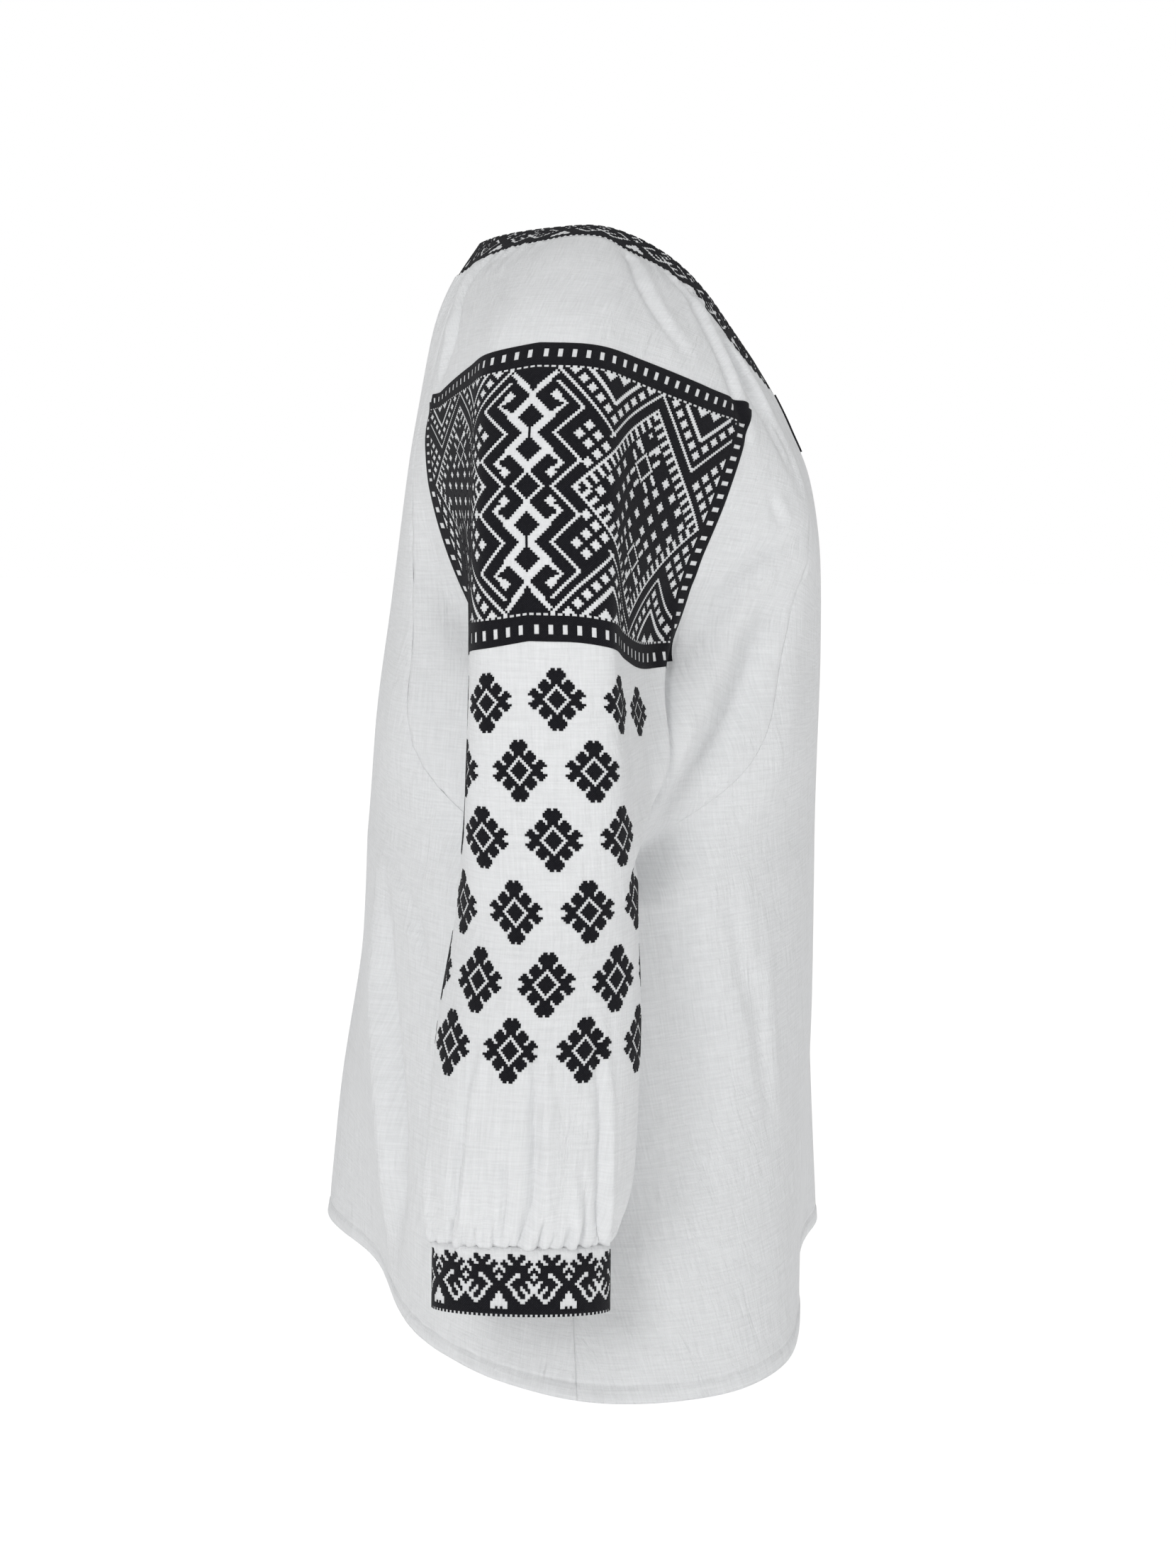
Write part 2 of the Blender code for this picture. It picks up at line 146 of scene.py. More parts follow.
# Below the underarm: height, forward of the centre front, out and forward of the side seam,
# forward of the centre back
BODY = (
    (-0.39, 0.153, 0.212, -0.0064, -0.147),
    (-0.48, 0.153, 0.226, -0.0047, -0.152),
    (-0.58, 0.152, 0.243, 0.0009, -0.156),
    (HEM_Z, 0.15, 0.264, 0.0072, -0.15),
)

# The sleeve below the underarm: height, out and forward of its middle, half its width and
# half its depth
SLEEVE = (
    (-0.39, 0.2588, -0.01, 0.0463, 0.052),
    (-0.45, 0.279, -0.0135, 0.045, 0.0575),
    (-0.525, 0.297, -0.0178, 0.042, 0.058),
    (-0.569, 0.303, -0.0224, 0.029, 0.05),
)
CUFF_TOP = (0.303, -0.022, 0.0275, 0.0500)
CUFF_LEAN = 0.0075
CUFF_TILT = 0.26
CUFF_LIFT = 0.0006

ARC_SHARES = (0.0, 0.3, 0.55, 0.76, 0.91)
FRONT_FULLNESS, FRONT_FULLER_AT_HEM = 2.4, 0.6
BACK_FULLNESS, BACK_FULLER_AT_HEM = 2.1, -0.45
FRONT_RISE = (0.45, 0.78, 0.92, 0.98)
BACK_RISE = (0.35, 0.72, 0.90, 0.98)

# How slowly a flute grows towards the hem
FLUTE_CURVE = 1.3
# Flutes of the hem: bearing from the centre front to the wearer's right in degrees, how far
# the hem stands out, half the width in degrees, height where the flute begins
FLUTES = (
    (-168, 0.043, 20, -0.42),
    (150, -0.003, 16, -0.5),
    (122, 0.004, 13, -0.55),
    (96, -0.004, 12, -0.56),
    (60, 0.01, 12, -0.5),
    (28, -0.006, 16, -0.5),
    (-13, 0.013, 13, -0.5),
    (-34, -0.006, 12, -0.52),
    (-60, 0.014, 14, -0.48),
    (-92, -0.005, 13, -0.55),
    (-118, 0.009, 14, -0.53),
    (-143, -0.006, 12, -0.48),
)
print("stations:", len(ARM), "above the underarm,", len(BODY) + len(SLEEVE), "below it")

# %% [markdown]
# ## Reading the tables
# A smooth curve runs through the rows of a table, and another through the key points of a
# section. Points are then spread evenly along its length, as threads are in cloth.

# %% Curves through tables and key points


def curve_part(start, slope_start, end, slope_end, part, span=1.0):
    """A smooth curve between two points with the given slopes, at part (0 to 1) of its span."""
    square, cube = part * part, part ** 3
    return (
        (2 * cube - 3 * square + 1) * start
        + (cube - 2 * square + part) * slope_start * span
        + (3 * square - 2 * cube) * end
        + (cube - square) * slope_end * span
    )


def between(table, station):
    """Reads a table between its rows, on a smooth curve through them."""
    rows = np.asarray(table, float)
    last = len(rows) - 1
    station = min(max(station, 0.0), float(last))
    low = min(int(station), last - 1)
    start, end = rows[low], rows[low + 1]
    slope_start = (end - rows[max(low - 1, 0)]) / (2 if low else 1)
    slope_end = (rows[min(low + 2, last)] - start) / (2 if low + 2 <= last else 1)
    return curve_part(start, slope_start, end, slope_end, station - low)


def through(keys, steps=CURVE_STEPS):
    """Draws a smooth curve through key points and returns it as many short steps."""
    keys = np.asarray(keys, float)
    spans = np.maximum(np.linalg.norm(np.diff(keys, axis=0), axis=1), 1e-6)
    speeds = np.diff(keys, axis=0) / spans[:, None]
    weights = (spans[:-1] / (spans[:-1] + spans[1:]))[:, None]
    slopes = np.vstack([speeds[:1], speeds[:-1] * (1 - weights) + speeds[1:] * weights, speeds[-1:]])
    parts = np.linspace(0, 1, steps, endpoint=False)[:, None]
    drawn = [
        curve_part(keys[i], slopes[i], keys[i + 1], slopes[i + 1], parts, span)
        for i, span in enumerate(spans)
    ]
    return np.vstack(drawn + [keys[-1:]])


def lengths_along(curve):
    """How far each point of a curve is from its start."""
    return np.concatenate([[0], np.cumsum(np.linalg.norm(np.diff(curve, axis=0), axis=1))])


def spread(curve, fractions):
    """Picks points of a curve at the given fractions of its length."""
    lengths = lengths_along(curve)
    wanted = np.asarray(fractions) * lengths[-1]
    return np.column_stack([np.interp(wanted, lengths, curve[:, axis]) for axis in range(3)])


# %% Sections of the body and the sleeves


def body_arc(centre, centre_z, seam_out, seam_forward, seam_z, wrap, fullness):
    """Key points from a centre line of the body to a seam."""
    keys = []
    for share in ARC_SHARES:
        round_fall = 1 - (1 - share ** fullness) ** (1 / fullness)
        fall = (1 - wrap) * share ** 2 + wrap * round_fall
        keys.append((
            seam_out * share,
            centre + (seam_forward - centre) * fall,
            centre_z + (seam_z - centre_z) * share ** 2,
        ))
    return keys


def closed_section(front_arc, side, back_arc):
    """A curve from the centre front over the side to the centre back, cut into those runs."""
    mirrored, behind = [(-arc[1][0], *arc[1][1:]) for arc in (front_arc, back_arc)]
    curve = through([mirrored] + front_arc + side + back_arc[::-1] + [behind])
    front_end = (1 + len(front_arc)) * CURVE_STEPS
    side_end = front_end + (len(side) - 1) * CURVE_STEPS
    back_end = side_end + len(back_arc) * CURVE_STEPS
    cuts = ((CURVE_STEPS, front_end), (front_end, side_end), (side_end, back_end))
    return [curve[start:end + 1] for start, end in cuts]


def upper_section(station):
    """Front, sleeve and back runs of one section above the underarm."""
    front, arm, back = between(FRONT, station), between(ARM, station), between(BACK, station)
    rise = [front[1] + (arm[6] - front[1]) * share for share in FRONT_RISE]
    fall = [back[1] + (arm[6] - back[1]) * share for share in BACK_RISE]
    sleeve = [
        (*front[2:4], rise[0]), (*front[4:6], rise[1]), (*arm[:2], rise[2]), (*arm[2:4], rise[3]),
        tuple(arm[4:7]),
        (*arm[7:9], fall[3]), (*arm[9:], fall[2]), (*back[4:6], fall[1]), (*back[2:4], fall[0]),
    ]
    front_arc = body_arc(*front[:2], *sleeve[0], front[6], FRONT_FULLNESS)
    back_arc = body_arc(*back[:2], *sleeve[-1], back[6], BACK_FULLNESS)
    return closed_section(front_arc, sleeve, back_arc)


def lower_body(station):
    """Front, side and back runs of the body's tube below the underarm; the side is a point."""
    height, front, side_out, side_forward, back = between(BODY, station - UNDERARM)
    flare = (station - UNDERARM) / (len(BODY) - 1)
    side = (side_out, side_forward, height)
    front_arc = body_arc(front, height, *side, 1.0, FRONT_FULLNESS + FRONT_FULLER_AT_HEM * flare)
    back_arc = body_arc(back, height, *side, 1.0, BACK_FULLNESS + BACK_FULLER_AT_HEM * flare)
    return closed_section(front_arc, [side], back_arc)


def oval(out, forward, height, half_out, half_forward, tilt=0.0):
    """A ring round the arm, from its inner line round the front and back again."""
    turns = np.linspace(math.pi, -math.pi, RING_STEPS + 1)
    across = half_out * np.cos(turns)
    return np.column_stack([out + across, forward + half_forward * np.sin(turns), height + across * tilt])


def lower_sleeve(station):
    """One ring of the sleeve's tube below the underarm."""
    height, out, forward, half_out, half_forward = between(SLEEVE, station - UNDERARM)
    share = max(station - UNDERARM, 0.0) / (len(SLEEVE) - 1)
    return oval(out, forward, height, half_out, half_forward, CUFF_TILT * share)


def flute(points):
    """Pushes the hem in and out along the flutes of the table."""
    bearings = np.degrees(np.arctan2(points[:, 0], points[:, 1] - BODY_MIDDLE))
    push = np.zeros(len(points))
    for bearing, depth, width, top in FLUTES:
        turn = (bearings - bearing + 180) % 360 - 180
        fall = np.clip((top - points[:, 2]) / (top - HEM_Z), 0, 1)
        push += depth * np.exp(-(turn / width) ** 2) * fall ** FLUTE_CURVE
    outward = points[:, :2] - np.array([0.0, BODY_MIDDLE])
    outward = outward / np.linalg.norm(outward, axis=1)[:, None]
    moved = points.copy()
    moved[:, :2] += outward * push[:, None]
    return moved


print("neck edge is", round(2 * sum(lengths_along(run)[-1] for run in upper_section(0)), 3), "m round")

# %% [markdown]
# ## Sheets of cloth as grids of points
# A sheet is a grid: rows go down the blouse and columns go round it. It also keeps how far
# each row is down the cloth and each point is round it, in metres of cloth, so that stitches
# can be counted on it.

# %% A sheet and its lengths


class Sheet:
    """A grid of points of cloth, with the lengths that stitches are counted by."""

    def __init__(self, name, rows, side, middles, stations):
        self.name = name
        self.points = np.array(rows) * np.array([side, -1, 1])
        self.stations = np.asarray(stations, float)
        steps = np.linalg.norm(np.diff(self.points, axis=1), axis=2)
        start = np.zeros((len(rows), 1))
        around = np.concatenate([start, np.cumsum(steps, axis=1)], axis=1)
        self.width = around[:, -1].copy()
        self.round = around - (np.asarray(middles) * self.width)[:, None]
        middle_column = np.abs(self.round).argmin(axis=1)
        self.down = lengths_along(self.points[np.arange(len(rows)), middle_column])
        self.turn = 1.0
        upright = 0.0 if "panel" in name or "band" in name else self.points[..., 0].mean()
        away = self.points - np.array([upright, -BODY_MIDDLE, 0.0])
        away[..., 2] = 0.0
        self.turn = math.copysign(1.0, (self.normals() * away).sum())

    def normals(self):
        """The outward direction at each point."""
        across = np.gradient(self.points, axis=1)
        along = np.gradient(self.points, axis=0)
        normal = np.cross(along, across)
        return self.turn * normal / np.maximum(np.linalg.norm(normal, axis=2), 1e-12)[..., None]

    def push(self, amount):
        """Moves each point outward by an amount given for each."""
        self.points = self.points + self.normals() * amount[..., None]

    def place(self, around, down, lift):
        """Points of the cloth at places given in metres of cloth, lifted off it."""
        row = self.beyond(down, self.down)
        low = np.clip(row.astype(int), 0, len(self.down) - 2)
        part = (row - low)[..., None]
        both = np.concatenate([self.points, self.normals()], axis=2)
        found = []
        for line in (low, low + 1):
            column = np.empty(line.shape)
            for index in np.unique(line):
                chosen = line == index
                column[chosen] = self.beyond(around[chosen], self.round[index])
            left = np.clip(column.astype(int), 0, self.points.shape[1] - 2)
            step = (column - left)[..., None]
            found.append(both[line, left] * (1 - step) + both[line, left + 1] * step)
        place, facing = np.split(found[0] * (1 - part) + found[1] * part, 2, axis=-1)
        return place + facing / np.linalg.norm(facing, axis=-1)[..., None] * lift

    @staticmethod
    def beyond(value, ruler):
        """Where a value falls on a ruler of rising numbers, going on past both its ends."""
        index = np.interp(value, ruler, np.arange(len(ruler)))
        index = index + np.minimum(0, value - ruler[0]) / (ruler[1] - ruler[0])
        return index + np.maximum(0, value - ruler[-1]) / (ruler[-1] - ruler[-2])


# %% Grids of points on the form
SLEEVE_ROWS, SLEEVE_COLUMNS = 190, 210
PANEL_ROWS, PANEL_COLUMNS = 150, 150
BAND_ROWS, BAND_COLUMNS = 12, 300
CUFF_ROWS, CUFF_COLUMNS = 14, 110
# Stations of the first and last rows, clear of the seams at the band and the cuffs
BAND_FOOT, CLOTH_TOP, SLEEVE_FOOT, HEM_EDGE = 0.99, 1.01, 9.99, 10.0
# Closer rows about the fold of the hem and at its edge, in stations
ABOUT_HEM_FOLD, CLOSE_TO_EDGE = (-0.02, -0.008, 0.0, 0.02), 9.97
# Closer columns beside the seams, in shares of the width
SLEEVE_SEAM_COLUMNS = np.array([0.0018, 0.0045])
PANEL_SEAM_COLUMNS = np.array([0.009, 0.0036])
# The key of the arm's outer line among those of the sleeve run
OUTER_KEY = 4
MIRROR = np.array([-1, 1, 1])


def even_rows(first, last, count, extra=()):
    """Stations spread evenly from first to last, with a few more put between them."""
    return sorted(set(np.round(np.linspace(first, last, count), 5)) | set(extra))


def sleeve_sheet(side_name, side):
    """The fine grid of one sleeve."""
    even = np.linspace(0, 1, SLEEVE_COLUMNS + 1)[1:-1]
    shares = np.concatenate([[0], SLEEVE_SEAM_COLUMNS, even, 1 - SLEEVE_SEAM_COLUMNS[::-1], [1]])
    stations = even_rows(CLOTH_TOP, SLEEVE_FOOT, SLEEVE_ROWS)
    rows, middles = [], []
    for station in stations:
        if station < UNDERARM:
            run = upper_section(station)[1]
            lengths = lengths_along(run)
            middles.append(lengths[OUTER_KEY * CURVE_STEPS] / lengths[-1])
        else:
            run = lower_sleeve(station)
            middles.append(0.5)
        rows.append(spread(run, shares))
    return Sheet(f"sleeve_{side_name}", rows, side, middles, stations)


def panel_sheet(face):
    """The fine grid of the front or back panel."""
    hem_fold = HEM_EDGE - HEM_TURN / HEM_STATION_LENGTH
    close_rows = [hem_fold + step for step in ABOUT_HEM_FOLD] + [CLOSE_TO_EDGE]
    stations = even_rows(CLOTH_TOP, HEM_EDGE, PANEL_ROWS, close_rows)
    half = PANEL_COLUMNS // 2
    rows = []
    for station in stations:
        front, _, back = upper_section(station) if station < UNDERARM else lower_body(station)
        run = front if face == "front" else back[::-1]
        narrow = SLIT_WIDTH / 2 / lengths_along(run)[-1] if face == "front" else 1 / half
        even = np.linspace(narrow, 1, half)[:-1]
        right = spread(run, np.concatenate([[0], even, 1 - PANEL_SEAM_COLUMNS, [1]]))
        rows.append(flute(np.vstack([right[::-1], right[1:] * MIRROR])))
    return Sheet(f"{face}_panel", rows, -1, [0.5] * len(rows), stations)


def band_sheet():
    """The fine grid of the neck band, from the slit on the right round to the left."""
    stations = np.linspace(0.0, BAND_FOOT, BAND_ROWS)
    rows = []
    for station in stations:
        front, sleeve, back = upper_section(station)
        run = np.vstack([front, sleeve[1:], back[1:]])
        start = SLIT_WIDTH / 2 / lengths_along(run)[-1]
        right = spread(run, np.linspace(start, 1, BAND_COLUMNS // 2 + 1))
        rows.append(np.vstack([right, right[-2::-1] * MIRROR]))
    return Sheet("neck_band", rows, -1, [0.5] * BAND_ROWS, stations)


def cuff_sheet(side_name, side):
    """The fine grid of one cuff."""
    out, forward, half_out, half_forward = CUFF_TOP
    top = SLEEVE[-1][0] - SEAM_GAP
    parts = np.linspace(0, 1, CUFF_ROWS)
    rows = []
    for part in parts:
        ring = oval(
            out + CUFF_LEAN * part, forward, top - CUFF_HEIGHT * part,
            half_out + CUFF_LIFT, half_forward + CUFF_LIFT, CUFF_TILT,
        )
        rows.append(spread(ring, np.linspace(0, 1, CUFF_COLUMNS + 1)))
    return Sheet(f"cuff_{side_name}", rows, side, [0.5] * CUFF_ROWS, parts)


# %% Make the sheets
sheets = {
    "sleeve_right": sleeve_sheet("right", -1),
    "sleeve_left": sleeve_sheet("left", 1),
    "front_panel": panel_sheet("front"),
    "back_panel": panel_sheet("back"),
    "neck_band": band_sheet(),
    "cuff_right": cuff_sheet("right", -1),
    "cuff_left": cuff_sheet("left", 1),
}
for name, sheet in sheets.items():
    print(name, sheet.points.shape[:2], "length", round(sheet.down[-1], 3),
          "widths", round(sheet.width.min(), 3), round(sheet.width.max(), 3))

# %% [markdown]
# ## Folds and gathers
# Longer folds are drawn one by one, each along a bent line on the cloth, as a soft trough with
# a ridge beside it. The cloth is gathered into the neck band and into the cuffs: uneven
# waves that fade into the plain sheet.

# %% How a fold is drawn
FOLD_STEPS, STRAIGHT_POINTS = 8, 12
OUT_OF_REACH = 9.0
# Shares of a fold's length that its ends stay clear of, and how bluntly it fades there
FOLD_ENDS, BLUNTNESS = (0.02, 0.98), 0.7
# The ridge's place and width and the reach of the whole fold, in half widths of the trough
RIDGE_AWAY, RIDGE_WIDTH, FOLD_REACH = 1.7, 1.2, 4


def beside_path(points, normals, path):
    """How far points are from a path, how far along it (0 to 1) and how far to one side."""
    lengths = lengths_along(path)
    near = np.full(len(points), OUT_OF_REACH)
    along, beside = np.zeros(len(points)), np.zeros(len(points))
    for index, step in enumerate(np.diff(path, axis=0)):
        length = np.linalg.norm(step)
        part = np.clip(((points - path[index]) @ step) / length ** 2, 0, 1)
        away = points - (path[index] + part[:, None] * step)
        distance = np.linalg.norm(away, axis=1)
        closer = distance < near
        near[closer] = distance[closer]
        along[closer] = ((lengths[index] + part * length) / lengths[-1])[closer]
        sideways = np.einsum("ij,ij->i", np.cross(normals, step / length), away)
        beside[closer] = (np.sign(sideways) * distance)[closer]
    return near, along, beside


def fold(carriers, line, depth, width, ridge, lean, drawn):
    """A bent trough of the given depth and half width, with a softer ridge beside it.

    A fold drawn to 1 fades at both ends, one drawn to 0.6 is still deep at its last point.
    """
    first = carriers[0]
    rows, columns = first.points.shape[:2]
    marks = []
    for station, share in line:
        row = np.interp(station, first.stations, np.arange(rows))
        marks.append(first.points[int(round(row)), int(round(share * (columns - 1)))])
    path = through(marks, FOLD_STEPS) if len(marks) > 2 else np.linspace(*marks, STRAIGHT_POINTS)
    for sheet in carriers:
        points, normals = sheet.points.reshape(-1, 3), sheet.normals().reshape(-1, 3)
        near, along, beside = beside_path(points, normals, path)
        taper = np.sin(np.pi * np.clip(along * drawn, *FOLD_ENDS)) ** BLUNTNESS
        trough = np.exp(-(beside / width) ** 2)
        crest = ridge * np.exp(-((beside - lean * RIDGE_AWAY * width) / (RIDGE_WIDTH * width)) ** 2)
        fade = np.exp(-(np.clip(near - FOLD_REACH * width, 0, None) / width) ** 2)
        amount = depth * taper * (crest - trough) * fade
        sheet.push(amount.reshape(sheet.points.shape[:2]))


# %% Folds drawn one by one
ON_FRONT, ON_BACK, ON_SLEEVE = ("front",), ("back",), ("sleeve",)
ON_SLEEVE_FRONT, ON_SLEEVE_BACK = ("sleeve", "front"), ("sleeve", "back")

# Folds of the wearer's right half: the sheets (the first carries the line), the line as
# (station, share across), depth, half width, ridge and its side, how far it is drawn
FOLDS = (
    (ON_SLEEVE_FRONT, ((4.72, 0.18), (5.02, 0.18), (5.33, 0.19), (6.09, 0.175), (6.66, 0.27)),
     0.0095, 0.0062, 0.6, -1, 1),
    (ON_SLEEVE_FRONT, ((4.6, 0.02), (4.86, 0.05), (5.33, 0.07), (5.81, 0.1), (6.4, 0.08)),
     0.015, 0.0125, 0.7, -1, 1),
    (ON_SLEEVE_FRONT, ((4.15, 0.03), (4.43, 0.097), (4.81, 0.143), (5.14, 0.162)),
     0.0055, 0.007, 0.6, -1, 1),
    (ON_SLEEVE_FRONT, ((3.96, 0.117), (4.19, 0.078)), 0.0026, 0.0035, 0.6, 1, 1),
    (ON_SLEEVE_BACK, ((4.1, 0.948), (4.62, 0.948), (5.05, 0.9), (5.43, 0.8), (5.81, 0.74)),
     0.008, 0.011, 0, 1, 1),
    (ON_BACK, ((7.22, 0.227), (7.35, 0.195), (7.59, 0.175)), 0.0026, 0.005, 0.6, -1, 1),
    (ON_BACK, ((6.86, 0.26), (7.16, 0.208), (7.53, 0.175)), 0.0026, 0.005, 0.6, -1, 1),
    (ON_BACK, ((7.22, 0.273), (7.83, 0.266), (8.49, 0.247), (9.03, 0.247), (9.64, 0.279)),
     0.013, 0.0095, 0.8, -1, 1),
    (ON_FRONT, ((6.98, 0.188), (7.53, 0.201), (8.01, 0.214)), 0.0036, 0.006, 0.6, 1, 1),
    (ON_FRONT, ((7.28, 0.221), (7.95, 0.221), (8.67, 0.227)), 0.0036, 0.006, 0.6, 1, 1),
    (ON_FRONT, ((6.92, 0.104), (7.65, 0.13), (8.37, 0.136), (9.03, 0.123)), 0.012, 0.026, 0.4, -1, 1),
    (ON_SLEEVE_FRONT, ((3.62, 0.156), (3.15, 0.175), (2.34, 0.221), (1.6, 0.25)),
     0.0034, 0.004, 0.7, -1, 0.75),
    (ON_SLEEVE_FRONT, ((3.81, 0.045), (3.2, 0.091), (2.53, 0.156), (1.6, 0.2)),
     0.0038, 0.0042, 0.7, -1, 0.75),
    (ON_SLEEVE_FRONT, ((3.96, 0.026), (3.34, 0.052), (2.67, 0.13), (1.6, 0.15)),
     0.003, 0.0036, 0.7, -1, 0.75),
    (ON_SLEEVE_FRONT, ((2.96, 0.286), (2.53, 0.344), (2.06, 0.383), (1.4, 0.4)),
     0.0028, 0.004, 0.6, -1, 0.75),
    (ON_SLEEVE_BACK, ((3.29, 0.903), (2.82, 0.864), (2.39, 0.877), (1.5, 0.877)),
     0.0034, 0.0045, 0.7, 1, 0.75),
    (ON_SLEEVE_BACK, ((3.72, 0.942), (3.2, 0.935), (2.48, 0.916), (1.49, 0.948)),
     0.003, 0.0045, 0.7, -1, 0.75),
    (ON_SLEEVE, ((7.9, 0.595), (8.37, 0.61), (8.85, 0.617), (9.47, 0.63), (10, 0.656)),
     0.0036, 0.003, 0.8, 1, 0.7),
    (ON_SLEEVE, ((8.61, 0.545), (9.23, 0.526), (10, 0.539)), 0.0024, 0.0026, 0.7, -1, 0.7),
    (ON_SLEEVE, ((7.75, 0.505), (8.61, 0.487), (9.37, 0.481), (10, 0.5)), 0.0046, 0.0034, 0.8, 1, 0.8),
    (ON_SLEEVE, ((8.9, 0.403), (9.42, 0.377), (10, 0.36)), 0.0026, 0.0026, 0.8, -1, 0.8),
    (ON_SLEEVE, ((7.7, 0.4), (8.4, 0.375), (9.47, 0.345), (10, 0.305)), 0.004, 0.003, 0.8, 1, 0.8),
    (ON_SLEEVE, ((8.7, 0.72), (9.4, 0.74), (10, 0.75)), 0.0036, 0.0042, 0.8, 1, 0.7),
    (ON_SLEEVE, ((8.8, 0.21), (9.5, 0.2), (10, 0.19)), 0.0036, 0.0042, 0.8, -1, 0.7),
    (ON_SLEEVE, ((8.6, 0.87), (9.3, 0.88), (10, 0.86)), 0.0034, 0.0042, 0.8, 1, 0.7),
)
# Short creases at the foot of a sleeve: share across, length in stations, depth
CREASES = (
    (0.05, 0.3, 0.0018), (0.1, 0.42, 0.0022), (0.165, 0.28, 0.0018), (0.235, 0.45, 0.0022),
    (0.325, 0.3, 0.002), (0.362, 0.22, 0.0014), (0.398, 0.45, 0.0022), (0.43, 0.25, 0.0016),
    (0.454, 0.6, 0.0028), (0.512, 0.35, 0.002), (0.548, 0.65, 0.0028), (0.588, 0.4, 0.0022),
    (0.615, 0.25, 0.0016), (0.643, 0.55, 0.0026), (0.7, 0.3, 0.002), (0.775, 0.45, 0.0024),
    (0.83, 0.28, 0.0018), (0.91, 0.4, 0.0022), (0.96, 0.25, 0.0016),
)
CREASE_WIDTH, CREASE_RIDGE, CREASE_DRAWN = 0.0019, 0.4, 0.6
CREASE_STRENGTH, CREASE_SWAY = 0.8, 0.006
# The left half has the same folds a little lower and softer
LEFT_DROP, LEFT_DEPTH = 0.12, 0.85

for side, drop, soften, turn in (("right", 0.0, 1.0, 1), ("left", LEFT_DROP, LEFT_DEPTH, -1)):
    sleeve = sheets["sleeve_" + side]
    half = {"sleeve": sleeve, "front": sheets["front_panel"], "back": sheets["back_panel"]}
    for names, line, depth, width, ridge, lean, drawn in FOLDS:
        mirrored = turn < 0 and names[0] != "sleeve"
        moved = [(station + drop, 1 - share if mirrored else share) for station, share in line]
        fold([half[name] for name in names], moved, depth * soften, width, ridge, lean * turn, drawn)
    for number, (share, long, depth) in enumerate(CREASES):
        sway = CREASE_SWAY * math.sin(5 * number + turn)
        line = ((10 - long, share + sway), (10 - long / 2, share + sway / 3), (10, share))
        fold([sleeve], line, CREASE_STRENGTH * depth, CREASE_WIDTH, CREASE_RIDGE, 1, CREASE_DRAWN)
print(2 * len(FOLDS), "folds and", 2 * len(CREASES), "creases")

# %% Gathers
# Shares beside the seams where gathers fade, and metres beside a smooth stretch
SEAM_FADE, SMOOTH_FADE = 0.05, 0.02
# The row above the foot whose length the gathers are spaced on
FOOT_ROW = -60
# How far the first rows of a cuff follow the foot of the sleeve
CUFF_MEETS = (1.0, 0.35, 0.08)
# How full the gathers are at the foot itself, and the height over which they fill out
FOOT_FULLNESS, PUFF_HEIGHT = 0.15, 0.006


def uneven_wave(around, pitch, seed):
    """Uneven waves along the cloth, from -1 to 1."""
    drift = 1.3 * np.sin(around * 31 + seed) + 0.8 * np.sin(around * 73 + 2.1 * seed)
    depth = 0.62 + 0.24 * np.sin(around * 57 + 1.7 * seed) + 0.14 * np.sin(around * 131 + seed)
    wave = np.cos(2 * np.pi * around / pitch + drift)
    return depth * (0.75 * wave + 0.25 * np.cos(4 * np.pi * around / pitch + 2 * drift))


def across_rows(sheet):
    """Each point's share of its row, and how much it is gathered beside the seams."""
    share = (sheet.round - sheet.round[:, :1]) / sheet.width[:, None]
    return share, np.clip(np.minimum(share, 1 - share) / SEAM_FADE, 0, 1)


def gather_top(sheet, pitch, depth, reach, seed, smooth=None):
    """Gathers at the upper edge; smooth is half the width of a middle stretch with none."""
    share, edge = across_rows(sheet)
    around = share * sheet.width[0]
    length = reach * (0.75 + 0.45 * np.sin(around * 83 + seed) ** 2)
    fade = np.exp(-(sheet.down[:, None] / length) ** 1.6)
    if smooth is not None:
        fade = fade * np.clip((np.abs(around - around.mean()) - smooth) / SMOOTH_FADE, 0, 1)
    sheet.push(depth * uneven_wave(around, pitch, seed) * fade * edge)


def gather_foot(sheet, pitch, depth, reach, seed):
    """Gathers at the lower edge, deepest a little above it, where the cloth puffs out."""
    share, edge = across_rows(sheet)
    around = share * sheet.width[FOOT_ROW]
    up = (sheet.down[-1] - sheet.down)[:, None]
    wave = uneven_wave(around + 0.06 * up * np.sin(around * 23 + seed), pitch, seed)
    wave = 2 * np.sqrt(np.clip(0.5 + 0.5 * wave, 0, 1)) - 1
    length = reach * (0.6 + 0.8 * np.sin(around * 47 + 1.9 * seed) ** 2)
    rise = np.clip(FOOT_FULLNESS + up / PUFF_HEIGHT, 0, 1)
    sheet.push(depth * wave * rise * np.exp(-(up / length) ** 1.5) * edge)


def meet(cuff, sleeve):
    """Brings the top of a cuff to the foot of its sleeve, where the two are sewn."""
    places = np.linspace(0, 1, cuff.points.shape[1])
    foot = np.linspace(0, 1, sleeve.points.shape[1])
    ring = np.column_stack([np.interp(places, foot, sleeve.points[-1, :, axis]) for axis in range(3)])
    gap = ring - cuff.points[0]
    for row, share in enumerate(CUFF_MEETS):
        cuff.points[row] += gap * share


